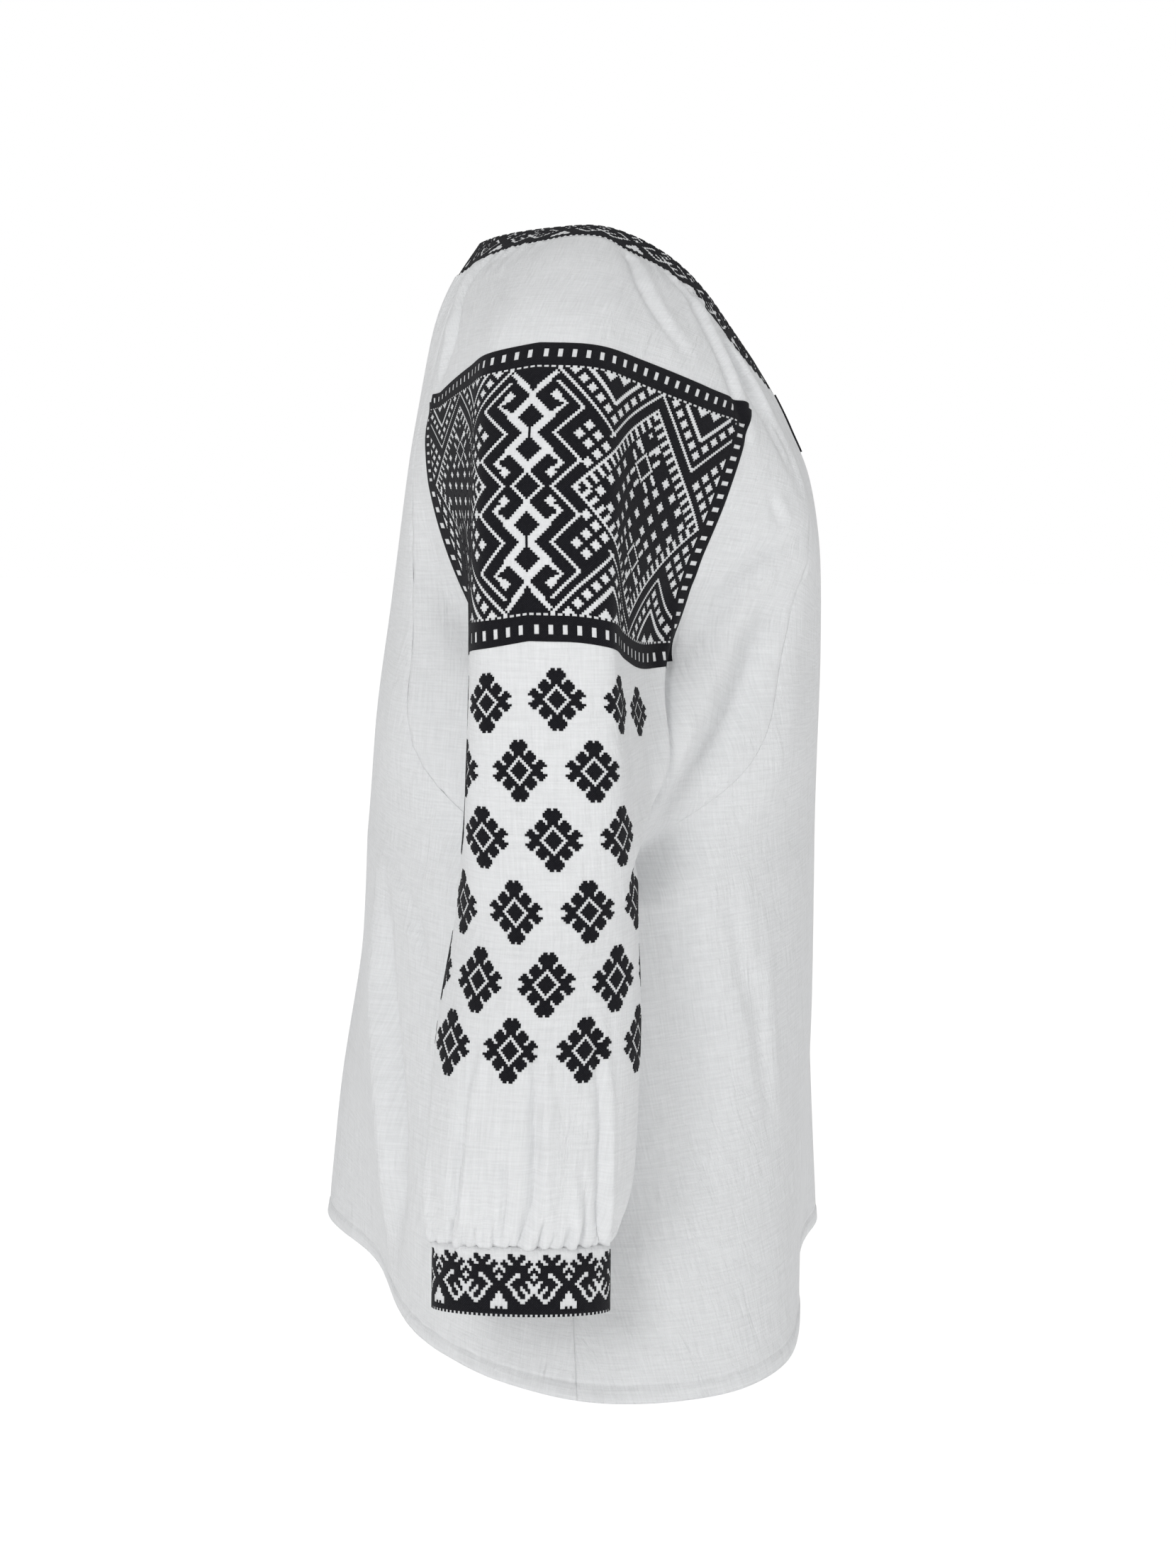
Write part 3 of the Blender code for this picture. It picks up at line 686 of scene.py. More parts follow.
gather_top(sheets["front_panel"], pitch=0.0085, depth=0.0018, reach=0.055, seed=1.3, smooth=0.008)
gather_top(sheets["back_panel"], pitch=0.0085, depth=0.0018, reach=0.050, seed=2.9)
for side, seed in (("right", 1.9), ("left", 3.3)):
    sleeve = sheets["sleeve_" + side]
    gather_top(sleeve, pitch=0.0100, depth=0.0016, reach=0.040, seed=0.4, smooth=0.026)
    gather_foot(sleeve, pitch=0.0230, depth=0.0020, reach=0.090, seed=seed)
    gather_foot(sleeve, pitch=0.0080, depth=0.0010, reach=0.020, seed=seed + 1.2)
    meet(sheets["cuff_" + side], sleeve)
print("gathered:", ", ".join(sheets))

# %% Seams and the turned hem
SEAM_DEPTH, SEAM_REACH = 0.0009, 0.0020
HEM_RISE = 0.0005
STITCH_GROOVE, GROOVE_HALF = 0.0007, 0.0012
PUCKER_PITCH, PUCKER, PUCKER_REACH = 0.0052, 0.00035, 0.008
# How much of each seam shows, at stations down the blouse
FRONT_SEAM_SHOWS = (1, 5, 6, 7, 7.2, 10), (1, 0.7, 0.1, 0, 0.3, 0.3)
BACK_SEAM_SHOWS = (1, 6.3, 7, 7.2, 10), (1, 1, 0, 0.3, 0.3)


def sink_seams(sheet, first, last):
    """Draws both edges of a sheet in, by shares given for each row, where it is sewn."""
    start, width, down = sheet.round - sheet.round[:, :1], sheet.width[:, None], sheet.down[:, None]
    share = np.where(start < width / 2, first[:, None], last[:, None])
    pucker = 1 + 0.5 * np.sin(2 * np.pi * down / PUCKER_PITCH + 3 * np.sin(40 * down))
    away = np.minimum(start, width - start)
    sheet.push(-SEAM_DEPTH * np.exp(-(away / SEAM_REACH) ** 2) * pucker * share)


def turn_hem(sheet, seed):
    """Raises the folded hem and draws it in along its line of stitches, with small puckers."""
    from_line = (sheet.down[-1] - sheet.down)[:, None] - HEM_TURN
    groove = np.exp(-(from_line / GROOVE_HALF) ** 2)
    pucker = np.sin(2 * np.pi * sheet.round / PUCKER_PITCH + 2.5 * np.sin(sheet.round * 61 + seed))
    near = np.exp(-(from_line / PUCKER_REACH) ** 2)
    sheet.push(HEM_RISE * (from_line < 0) - STITCH_GROOVE * groove + PUCKER * pucker * near)


for name, shows, seed in (("front_panel", FRONT_SEAM_SHOWS, 1.0), ("back_panel", BACK_SEAM_SHOWS, 2.2)):
    shown = np.interp(sheets[name].stations, *shows)
    sink_seams(sheets[name], shown, shown)
    turn_hem(sheets[name], seed)
for name in ("sleeve_right", "sleeve_left"):
    shown = [np.interp(sheets[name].stations, *shows) for shows in (FRONT_SEAM_SHOWS, BACK_SEAM_SHOWS)]
    sink_seams(sheets[name], *shown)
print("hem turned by", HEM_TURN * 1000, "mm")

# %% [markdown]
# ## Counted charts
# The embroidery is traditional counted work: black cross stitches round figures that are
# left white. A chart is a table of squares, true where a square is stitched, and each figure
# is a rule on the squares: how far a square is from a line, a rhombus or a row of dots.

# %% Lines, rhombi and dots on squared paper
STITCH = 0.001345


def squares(half_wide, half_tall):
    """Square numbers across and down from the middle of a chart."""
    return np.meshgrid(np.arange(-half_wide, half_wide + 1), np.arange(-half_tall, half_tall + 1))


def near_line(x, y, line, half):
    """Squares within half a stroke of a bent line."""
    close = np.zeros(x.shape, bool)
    for (x0, y0), (x1, y1) in zip(line, line[1:]):
        run = (x1 - x0) ** 2 + (y1 - y0) ** 2
        part = np.clip(((x - x0) * (x1 - x0) + (y - y0) * (y1 - y0)) / run, 0, 1)
        close |= np.hypot(x - x0 - part * (x1 - x0), y - y0 - part * (y1 - y0)) <= half
    return close


def rhombus(x, y, centre_x, centre_y, inner, outer):
    """Squares of a rhombic ring, more than inner and at most outer steps from its centre."""
    steps = np.abs(x - centre_x) + np.abs(y - centre_y)
    return (steps > inner) & (steps <= outer)


def dots(x, y, origin, step):
    """Dots on a slanted lattice through a point, and the place of each square's nearest dot."""
    from_x, from_y = origin
    rising = np.round((x - from_x + y - from_y) / (2 * step))
    falling = np.round((x - from_x - y + from_y) / (2 * step))
    dot_x = np.round(from_x + step * (rising + falling))
    dot_y = np.round(from_y + step * (rising - falling))
    return rhombus(x, y, dot_x, dot_y, -1, 2), dot_x, dot_y


def from_multiple(values, period):
    """How far values are from the nearest multiple of a period."""
    return np.abs((values + period / 2) % period - period / 2)


# %% The shoulder panel's chart
# Numbers in the rules of the charts are squares, counted from the middle or the foot
PANEL_HALF = (118, 64)
FIELD_HALF = (110, 52)
ZIGZAG = 23
DIAMOND_X, DIAMOND = 64, 46
COMB_ROOT, COMB_TEETH = 43, 37
SMALL_Y = 19
FRAME_LINE = 52
APEX = ((37, 25), (92, 24))


def centre_column(x, y):
    """White hooks and rhombi up the middle, between two zigzags."""
    white = rhombus(x, y, 0, 0, 5, 7)
    for centre in (16, 30):
        strokes = rhombus(x, y, 0, centre, 5, 10) & (np.abs(y - ZIGZAG) <= 16)
        white |= strokes & ~((x == 0) & (np.abs(y - ZIGZAG) <= 3))
    for hook in (((9, 15), (14.5, 10), (9.5, 6.5)), ((9, 31), (14.5, 36), (9.5, 40))):
        white |= near_line(x, y, hook, 0.9)
        white |= rhombus(x, y, round(hook[-1][0]), round(hook[-1][1]), -1, 2)
    white |= near_line(x, y, ((0, 38), (0, 40), (9, 50)), 1.2)
    from_zigzag = x - from_multiple(y, ZIGZAG)
    white |= (from_zigzag >= 10) & (from_zigzag <= 11) & (y < 47)
    dotted, dot_x, dot_y = dots(x, y, (13, 23), 4)
    dotted &= (dot_x - from_multiple(dot_y, ZIGZAG) > 13) & (dot_x < 40) & (dot_y > 9)
    return white | (dotted & (dot_x + dot_y <= 58) & (DIAMOND_X - dot_x + dot_y > 49))


def comb_diamond(x, y):
    """A large rhombus with a comb inside its edge, dots and two small rhombi."""
    away_x, away_y = np.abs(x - DIAMOND_X), np.abs(y - SMALL_Y)
    steps, slant = away_x + y, away_x - y
    white = (steps > COMB_ROOT) & (steps < DIAMOND)
    white |= (steps > COMB_TEETH) & (steps <= COMB_ROOT) & (slant % 6 <= 2)
    dotted, dot_x, dot_y = dots(x, y, (DIAMOND_X, 0), 5.5)
    aside = np.abs(dot_x - DIAMOND_X)
    white |= dotted & (aside + dot_y <= 34) & (aside + np.abs(dot_y - SMALL_Y) > 14)
    white |= rhombus(x, y, DIAMOND_X, SMALL_Y, 4, 6) | rhombus(x, y, DIAMOND_X, 33, -1, 1)
    for dash in (((6, 2), (9, 5)), ((2, 6), (5, 9))):
        white |= near_line(away_x, away_y, dash, 0.75)
    return white


def border_triangles(x, y):
    """The triangles between the large rhombi, with dots along two sides and a bent line."""
    steps = np.abs(x - DIAMOND_X) + y
    white = (steps >= FRAME_LINE) & (steps <= FRAME_LINE + 1) & (y >= 24)
    white |= (x + y >= 62) & (x + y <= 63) & (y >= 25)
    white |= (x - y >= 68) & (x - y <= 69) & (y >= 24)
    for apex_x, apex_y in APEX:
        from_apex = np.abs(x - apex_x)
        for step in range(6):
            white |= rhombus(from_apex, y, 4 * step, apex_y + 7 + 4 * step, -1, 2)
        white |= near_line(from_apex, y, ((0, apex_y + 14), (14, apex_y + 28)), 0.8)
        white |= rhombus(from_apex, y, 4, FIELD_HALF[1], -1, 3)
    dotted, dot_x, dot_y = dots(x, y, (98, 18), 4)
    within = (np.abs(dot_x - DIAMOND_X) + dot_y > 50) & (dot_x - dot_y >= 78) & (dot_x > 90)
    return white | (dotted & within)


def panel_chart():
    """The wide panel of the shoulder, alike to the left and right and above and below."""
    across, down = squares(*PANEL_HALF)
    x, y = np.abs(across), np.abs(down)
    field = (x <= FIELD_HALF[0]) & (y <= FIELD_HALF[1])
    white = (centre_column(x, y) | comb_diamond(x, y) | border_triangles(x, y)) & field
    rungs = (x % 6 >= 3) & (x % 6 <= 4) & (y >= 58) & (y <= 61) & (x <= FIELD_HALF[0])
    side_rungs = (y % 6 >= 3) & (y % 6 <= 4) & (x >= 113) & (x <= 116) & (y <= FIELD_HALF[1])
    dotted = (y == FIELD_HALF[1] + 1) & (x % 3 > 0) & (x <= FIELD_HALF[0])
    notch = (x >= PANEL_HALF[0] - 2) & (y >= PANEL_HALF[1] - 2)
    return ~(white | rungs | side_rungs | dotted | notch)


# %% The sprig's chart
SMALL_HALF = 13


def small_chart():
    """A sprig of the sleeve: a rhombus in a white ring, with ten lobes round it."""
    across, down = squares(SMALL_HALF, SMALL_HALF)
    x, y = np.abs(across), np.abs(down)
    steps, slant = x + y, np.abs(x - y)
    black = (steps <= 4) | ((steps >= 7) & (steps <= 9))
    black |= (steps > 9) & (steps <= np.where(slant > 5, 15, 14)) & ((slant <= 3) | (slant >= 6))
    side_notch = ((x >= 12) & (y <= 1)) | ((x == 11) & (y == 0))
    return black & ~side_notch & ~((x == 0) & (y == SMALL_HALF))


# %% The charts of the cuff and the neck band
PERIOD = 28
CUFF_SQUARES, BAND_SQUARES = (182, 24), (15 * PERIOD, 19)
HEAD_X, HEAD_Y = 7, 14
HOOK = ((6.5, 14.5), (10.5, 10.8), (4.5, 4.2), (0, 9), (-2.9, 12))
HOOK_TOOTH = ((2.5, 6.4), (5, 9.3))


def border_chart(wide, rows):
    """A running border: fringed heads over white hooks, with a toothed lower edge."""
    i, j = np.meshgrid(np.arange(wide), np.arange(rows + 2))
    y = rows - j
    x = from_multiple(i, PERIOD)
    far = PERIOD / 2 - x
    aside, above = np.abs(x - HEAD_X), y - HEAD_Y
    steps, slant = aside + above, aside - above
    tooth = ((slant >= -6) & (slant <= -4)) | ((slant >= -1) & (slant <= 1))
    black = (y >= 0) & ((y <= 13) | (steps <= 6))
    black |= (steps <= 11) & tooth & (above > 0)
    black |= (x + np.abs(above) <= 3) | (far + np.abs(above) <= 3)
    black &= ~((slant < -6) & (above > 0))
    carved = near_line(x, y, HOOK, 0.75) | near_line(-x, y, HOOK[2:], 0.75)
    carved |= near_line(x, y, HOOK_TOOTH, 0.7)
    carved |= (x + np.abs(above) <= 1) | (far + np.abs(above) <= 1)
    carved |= (far <= (8.5 - y) * 0.68) & (y >= 2) & ~((y == 2) & (far % 3 == 1))
    return (black & ~carved) | ((y == -1) & (i % 2 == 0))


panel_squares, small_squares = panel_chart(), small_chart()
cuff_squares, band_squares = border_chart(*CUFF_SQUARES), border_chart(*BAND_SQUARES)
charts = {"panel": panel_squares, "small": small_squares, "cuff": cuff_squares, "band": band_squares}
for name, chart in charts.items():
    print(name, chart.shape[1], "by", chart.shape[0], "squares,", int(chart.sum()), "of them black")

# %% [markdown]
# ## Cloth: linen and stitches as node groups
# The linen is a plain weave with thicker threads here and there, and faint crumples. Its
# pattern counts metres of cloth, so the threads keep their size over every fold. The
# embroidery has a small cross in each counted square.

# %% Helpers for nodes and materials


def set_inputs(node, values):
    """Sets the named inputs of a node."""
    for socket, value in values.items():
        node.inputs[socket].default_value = value


def new_group(name, inputs, outputs):
    """An empty node group with the given float sockets."""
    group = bpy.data.node_groups.new(name, "ShaderNodeTree")
    for socket, value in inputs:
        added = group.interface.new_socket(socket, in_out="INPUT", socket_type="NodeSocketFloat")
        added.default_value = value
    for socket in outputs:
        group.interface.new_socket(socket, in_out="OUTPUT", socket_type="NodeSocketFloat")
    return group, group.nodes.new("NodeGroupInput"), group.nodes.new("NodeGroupOutput")


def math_node(tree, operation, *values):
    """A math node with its inputs linked or set; returns its output."""
    node = tree.nodes.new("ShaderNodeMath")
    node.operation = operation
    for socket, value in zip(node.inputs, values):
        if isinstance(value, (int, float)):
            socket.default_value = value
        else:
            tree.links.new(value, socket)
    return node.outputs[0]


def cloth_place(tree, across, down):
    """The place on the cloth in metres, scaled by a number across and another down it."""
    coordinates = tree.nodes.new("ShaderNodeTexCoord")
    parts = tree.nodes.new("ShaderNodeSeparateXYZ")
    tree.links.new(coordinates.outputs["UV"], parts.inputs[0])
    scales = (("X", across), ("Y", down))
    return [math_node(tree, "MULTIPLY", parts.outputs[axis], scale) for axis, scale in scales]


def streaks(tree, across, down, detail=2.0, roughness=0.5, distortion=0.0):
    """Noise that is stretched along the threads, from 0 to 1."""
    place = tree.nodes.new("ShaderNodeCombineXYZ")
    for scaled, socket in zip(cloth_place(tree, across, down), place.inputs):
        tree.links.new(scaled, socket)
    noise = tree.nodes.new("ShaderNodeTexNoise")
    set_inputs(noise, {"Scale": 1.0, "Detail": detail, "Roughness": roughness, "Distortion": distortion})
    tree.links.new(place.outputs[0], noise.inputs["Vector"])
    return noise.outputs["Fac"]


def relief_material(name, group, strength, settings):
    """A material with the relief of a node group; also its tree, tone and colour socket."""
    material = bpy.data.materials.new(name)
    material.use_nodes = True
    tree = material.node_tree
    shader = tree.nodes["Principled BSDF"]
    set_inputs(shader, settings)
    pattern = tree.nodes.new("ShaderNodeGroup")
    pattern.node_tree = group
    bump = tree.nodes.new("ShaderNodeBump")
    set_inputs(bump, {"Strength": strength, "Distance": 1.0})
    tree.links.new(pattern.outputs["Height"], bump.inputs["Height"])
    tree.links.new(bump.outputs["Normal"], shader.inputs["Normal"])
    return material, tree, pattern.outputs["Tone"], shader.inputs["Base Color"]


# %% The linen group
THREADS_PER_METRE = 1900
LINEN_COLOUR = (0.83, 0.84, 0.85)
# Depths of the relief in metres
WEAVE_DEPTH, SLUB_DEPTH = 0.00007, 0.00030
CRUMPLE_DEPTH, FINE_DEPTH = 0.0022, 0.00045
# The tone between the threads, and what a slub and a thread add to it
GROUND_TONE, SLUB_TONE, WEAVE_TONE = 0.945, 0.20, 0.07


def linen_group():
    """Plain weave with slubs and crumples: a height in metres and a tone of about 1."""
    group, entry, leave = new_group(
        "linen", [("Threads", THREADS_PER_METRE), ("Slubs", 1.0), ("Crumple", 1.0)], ["Height", "Tone"])
    maths = partial(math_node, group)
    threads = entry.outputs["Threads"]
    x, y = cloth_place(group, threads, threads)
    warp, weft = [maths("ABSOLUTE", maths("SINE", maths("MULTIPLY", part, math.pi))) for part in (x, y)]
    over = maths("ABSOLUTE", maths("MODULO", maths("ADD", maths("FLOOR", x), maths("FLOOR", y)), 2.0))
    under = maths("SUBTRACT", 1.0, over)
    weave = maths("ADD", maths("MULTIPLY", warp, over), maths("MULTIPLY", weft, under))

    slub = maths("ADD", streaks(group, 900, 42), streaks(group, 48, 820))
    slub = maths("MULTIPLY", maths("SUBTRACT", slub, 1.0), entry.outputs["Slubs"])

    soft = streaks(group, 70, 26, detail=4.0, roughness=0.58, distortion=0.9)
    fine = streaks(group, 260, 150, detail=3.0, roughness=0.6, distortion=0.5)
    crumple = maths("ADD", maths("MULTIPLY", soft, CRUMPLE_DEPTH), maths("MULTIPLY", fine, FINE_DEPTH))
    crumple = maths("MULTIPLY", crumple, entry.outputs["Crumple"])

    height = maths("ADD", maths("MULTIPLY", weave, WEAVE_DEPTH), maths("MULTIPLY", slub, SLUB_DEPTH))
    group.links.new(maths("ADD", height, crumple), leave.inputs["Height"])
    tone = maths("ADD", GROUND_TONE, maths("MULTIPLY", slub, SLUB_TONE))
    group.links.new(maths("ADD", tone, maths("MULTIPLY", weave, WEAVE_TONE)), leave.inputs["Tone"])
    return group


def linen_material(name, linen, colour):
    """Matt linen with a soft sheen."""
    material, tree, tone, base_colour = relief_material(name, linen, 1.0, {
        "Roughness": 0.88, "Sheen Weight": 0.25, "Sheen Roughness": 0.5, "Specular IOR Level": 0.25})
    tint = tree.nodes.new("ShaderNodeCombineColor")
    for socket, part in zip(tint.inputs, colour):
        tree.links.new(math_node(tree, "MULTIPLY", tone, part), socket)
    tree.links.new(tint.outputs[0], base_colour)
    return material


linen = linen_group()
white_linen = linen_material("white_linen", linen, LINEN_COLOUR)
print("linen group with", len(linen.nodes), "nodes")

# %% The cross-stitch group
# How steeply a thread falls away beside its middle line, and how high the upper one stands
THREAD_SLOPE, UPPER_THREAD = 2.6, 1.25
THREAD_DEPTH = 0.00022
# The ground shows where no thread is higher than this and the noise is above its limit; it is painted
# dark, as painted shade between the threads
BARE_BELOW, BARE_NOISE = 0.12, 0.47
# Black thread, and the white ground between the crosses painted nearly black: painted shade between the
# threads
BLACK, SHADED_GROUND_SPECK = (0.007, 0.007, 0.010, 1.0), (0.050, 0.050, 0.058, 1.0)


def stitch_group():
    """A cross of two threads in each counted square."""
    group, entry, leave = new_group("cross_stitch", [("Size", STITCH)], ["Height", "Tone"])
    maths = partial(math_node, group)
    across = maths("DIVIDE", 1.0, entry.outputs["Size"])
    x, y = [maths("FRACT", place) for place in cloth_place(group, across, across)]
    rising = maths("ABSOLUTE", maths("SUBTRACT", x, y))
    falling = maths("ABSOLUTE", maths("SUBTRACT", maths("ADD", x, y), 1.0))
    lower = maths("SUBTRACT", 1.0, maths("MULTIPLY", rising, THREAD_SLOPE))
    upper = maths("SUBTRACT", UPPER_THREAD, maths("MULTIPLY", falling, THREAD_SLOPE))
    thread = maths("MAXIMUM", maths("MAXIMUM", lower, upper), 0.0)
    fibres = streaks(group, 5200, 5200, detail=1.0)
    height = maths("MULTIPLY", maths("ADD", thread, fibres), THREAD_DEPTH)
    group.links.new(height, leave.inputs["Height"])
    bare = maths("GREATER_THAN", BARE_BELOW, thread)
    uneven = maths("GREATER_THAN", streaks(group, 420, 420), BARE_NOISE)
    group.links.new(maths("MULTIPLY", bare, uneven), leave.inputs["Tone"])
    return group


def stitch_material(name, crosses):
    """Matt black cotton thread, with specks of the linen ground between the crosses, painted dark as
    painted shade between the threads.
    """
    material, tree, tone, base_colour = relief_material(name, crosses, 0.9, {
        "Roughness": 0.8, "Sheen Weight": 0.04, "Sheen Roughness": 0.5, "Specular IOR Level": 0.15})
    blend = tree.nodes.new("ShaderNodeMix")
    blend.data_type = "RGBA"
    # The specks of ground get a dark colour: painted shade between the threads
    set_inputs(blend, {"A": BLACK, "B": SHADED_GROUND_SPECK})
    tree.links.new(tone, blend.inputs["Factor"])
    tree.links.new(blend.outputs["Result"], base_colour)
    return material


cross_stitch = stitch_group()
black_thread = stitch_material("black_thread", cross_stitch)
print("cross-stitch group with", len(cross_stitch.nodes), "nodes")

# %% [markdown]
# ## From grids of points to pieces
# Each grid becomes a mesh: a flat grid is made first, then its points are moved to the
# cloth, and a Solidify modifier gives the cloth its thickness on the inside.

# %% From a grid to a piece
WELD = 0.00003
CLOTH, CUFF_CLOTH, BAND_CLOTH = 0.0007, 0.0014, 0.0020


def lay_grid(points):
    """A mesh grid whose points are moved to the given places, row by row."""
    down, across = points.shape[:2]
    net = bmesh.new()
    bmesh.ops.create_grid(net, x_segments=across - 1, y_segments=down - 1, size=1)
    order = sorted(net.verts, key=lambda v: (round(-v.co.y, 5), round(v.co.x, 5)))
    for index, vert in enumerate(order):
        vert.co = points[index // across, index % across]
        vert.index = index
    return net, order


def add_lengths(net, sheet):
    """Lays metres of cloth on the mesh as its texture coordinates."""
    layer = net.loops.layers.uv.new("UVMap")
    for face in net.faces:
        for loop in face.loops:
            row, column = divmod(loop.vert.index, sheet.points.shape[1])
            loop[layer].uv = (sheet.round[row, column], -sheet.down[row])


def make_piece(name, net, material, thickness, rim_only=False):
    """Finishes a mesh as a piece of the blouse with its thickness."""
    mesh = bpy.data.meshes.new(name)
    net.to_mesh(mesh)
    net.free()
    mesh.shade_smooth()
    mesh.materials.append(material)
    piece = bpy.data.objects.new(name, mesh)
    blouse.objects.link(piece)
    wall = piece.modifiers.new("Wall", "SOLIDIFY")
    wall.thickness = thickness
    wall.offset = -1
    wall.use_rim_only = rim_only
    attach(piece, "root")
    return piece


def face_outward(net, place, outward):
    """Turns all faces over when the one nearest to a place looks in."""
    net.normal_update()
    nearest = min(net.faces, key=lambda face: (face.calc_center_median() - Vector(place)).length)
    if nearest.normal.dot(Vector(outward)) < 0:
        bmesh.ops.reverse_faces(net, faces=net.faces)


def open_slit(net, order, sheet):
    """Deletes the faces between the two edges of the slit."""
    across = sheet.points.shape[1]
    slit = {
        order[row * across + column]
        for row, station in enumerate(sheet.stations) if station <= SLIT_FOOT_STATION
        for column in range(across // 2 - 1, across // 2 + 2)
    }
    inside = [face for face in net.faces if all(vert in slit for vert in face.verts)]
    bmesh.ops.delete(net, geom=inside, context="FACES")


def cloth_piece(name, node, thickness, close_from=None):
    """Makes the cloth of one sheet in place of its plain solid."""
    sheet = sheets[node]
    if close_from is not None:
        ring = sheet.stations >= close_from
        middle = (sheet.points[ring, 0] + sheet.points[ring, -1]) / 2
        sheet.points[ring, 0] = sheet.points[ring, -1] = middle
    net, order = lay_grid(sheet.points)
    add_lengths(net, sheet)
    row, column = sheet.points.shape[0] // 2, sheet.points.shape[1] // 3
    face_outward(net, sheet.points[row, column], sheet.normals()[row, column])
    if node == "front_panel":
        open_slit(net, order, sheet)
    if close_from is not None:
        bmesh.ops.remove_doubles(net, verts=net.verts, dist=WELD)
    piece = make_piece(name, net, white_linen, thickness)
    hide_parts(node)
    print(name, len(piece.data.polygons), "faces")
    return piece


# %% Make the cloth pieces
pieces = {
    "front_panel": cloth_piece("front_cloth", "front_panel", CLOTH),
    "back_panel": cloth_piece("back_cloth", "back_panel", CLOTH),
    "neck_band": cloth_piece("neck_band_cloth", "neck_band", BAND_CLOTH),
}
for side in ("right", "left"):
    sleeve, cuff = "sleeve_" + side, "cuff_" + side
    pieces[sleeve] = cloth_piece(f"{side}_sleeve_cloth", sleeve, CLOTH, close_from=UNDERARM)
    pieces[cuff] = cloth_piece(f"{side}_cuff_cloth", cuff, CUFF_CLOTH, close_from=0.0)

# %% [markdown]
# ## Lay the stitches on the cloth
# For each chart a flat grid is made with one face a square. The white squares are deleted,
# the corners of the others are moved to their counted places on the cloth, a little above
# it, and a rim gives the stitches their thickness.

# %% Where the charts lie
STITCH_LIFT = 0.00028
SMALL_SQUARE = (0.00120, 0.00132)
SPRIG_PITCH = 0.0425
PANEL_TOP, PANEL_HALF_WIDE, PANEL_TALL = 0.1165, 0.1585, 0.1743
PANEL_SQUARE = (PANEL_HALF_WIDE / (PANEL_HALF[0] + 0.5), PANEL_TALL / (2 * PANEL_HALF[1] + 1))
# How far the cuff's chart is moved round the cuff and reaches past its foot
CUFF_AROUND, CUFF_OVERHANG = -0.0005, 0.0004
# The slit's edging: its width, its height and the station where it ends
EDGING, EDGING_LIFT, EDGING_FOOT_STATION = 0.0014, 0.0014, 2.5

# Rows of sprigs on the sleeve: distance down the cloth, place of one of the row's sprigs,
# how many steps the row goes on to the front and to the back of it
SPRIG_ROWS = (
    (0.3235, 0.0275, 3, 1),
    (0.364, 0.008, 1, 1),
    (0.403, 0.0325, 2, 1),
    (0.444, 0.0145, 2, 1),
    (0.4835, 0.0375, 3, 1),
    (0.52, 0.013, 2, 2),
)

# The grain of the sleeve sinks beside the arm: distance down, fall at the front and the
# back, and how far the stitches behind the middle close up
SAG = (
    (0.1165, 0.0075, 0.027, 0.945),
    (0.2036, 0.0195, 0.004, 0.945),
    (0.2908, 0.023, 0.0235, 0.905),
    (0.33, 0.016, 0.015, 0.93),
    (0.4, 0, 0, 0.945),
)
SAG_FROM, SAG_TO = 0.02, 0.13


def sunk(around, down):
    """Where a counted place lies, with its row sunk along the grain beside the arm."""
    share = np.clip((-around - SAG_FROM) / (SAG_TO - SAG_FROM), 0, 1)
    share = share ** 2 * (3 - 2 * share)
    table = np.array(SAG)
    front, back, ease = (np.interp(down, table[:, 0], table[:, column]) for column in (1, 2, 3))
    fall = np.where(around < 0, share * front, np.clip(around / SAG_TO, 0, 1) * back)
    return np.where(around > 0, around * ease, around), down + fall


def sprig_spots():
    """Where the sprigs stand on a sleeve, in rows that are shifted by half a step."""
    return [
        (place + step * SPRIG_PITCH, down - (SMALL_HALF + 0.5) * SMALL_SQUARE[1])
        for down, place, before, behind in SPRIG_ROWS
        for step in range(-before, behind + 1)
    ]


print(2 * len(sprig_spots()), "sprigs")

# %% From a chart to a stitched piece
# How far below the top of a chart its outward side is tested
TEST_DOWN = 0.01


def stitch_grid(chart, around, down, square):
    """A flat grid of the black squares of a chart, and where its corners lie on the cloth."""
    rows, columns = chart.shape
    net = bmesh.new()
    layer = net.loops.layers.uv.new("UVMap")
    bmesh.ops.create_grid(net, x_segments=columns, y_segments=rows, size=1)
    white = []
    for face in net.faces:
        middle = face.calc_center_median()
        column = int((middle.x + 1) / 2 * columns)
        row = int((1 - middle.y) / 2 * rows)
        if not chart[row, column]:
            white.append(face)
        for loop in face.loops:
            loop[layer].uv = (
                (loop.vert.co.x + 1) / 2 * columns * STITCH,
                (loop.vert.co.y + 1) / 2 * rows * STITCH,
            )
    bmesh.ops.delete(net, geom=white, context="FACES")
    places = np.array([
        (around + vert.co.x * columns / 2 * square[0], down + (1 - vert.co.y) / 2 * rows * square[1])
        for vert in net.verts
    ])
    return net, places


def stitched(name, sheet, chart, spots, square, lift=STITCH_LIFT, fanned=False):
    """Lays a chart at each spot of a sheet, given as (around, down of its top).

    A fanned chart widens and narrows with the length of the sheet's rows.
    """
    whole = bpy.data.meshes.new(name)
    joined = bmesh.new()
    for around, down in spots:
        net, places = stitch_grid(chart, around, down, square)
        if "sleeve" in sheet.name:
            places = np.column_stack(sunk(places[:, 0], places[:, 1]))
        if fanned:
            places[:, 0] *= np.interp(places[:, 1], sheet.down, sheet.width) / sheet.width.mean()
        found = sheet.place(places[:, 0], places[:, 1], lift)
        for vert, place in zip(net.verts, found):
            vert.co = place
        net.to_mesh(whole)
        net.free()
        joined.from_mesh(whole)
    tested = np.array([spots[0][0]]), np.array([spots[0][1] + TEST_DOWN])
    on_cloth = sheet.place(*tested, 0.0)
    face_outward(joined, on_cloth[0], (sheet.place(*tested, 1.0) - on_cloth)[0])
    bpy.data.meshes.remove(whole)
    piece = make_piece(name, joined, black_thread, lift, rim_only=True)
    print(name, len(piece.data.polygons), "stitches")
    return piece


# %% Make the stitched pieces


def filling(wide, tall, chart):
    """The size of a square when a chart fills a stretch of cloth."""
    return wide / chart.shape[1], tall / chart.shape[0]


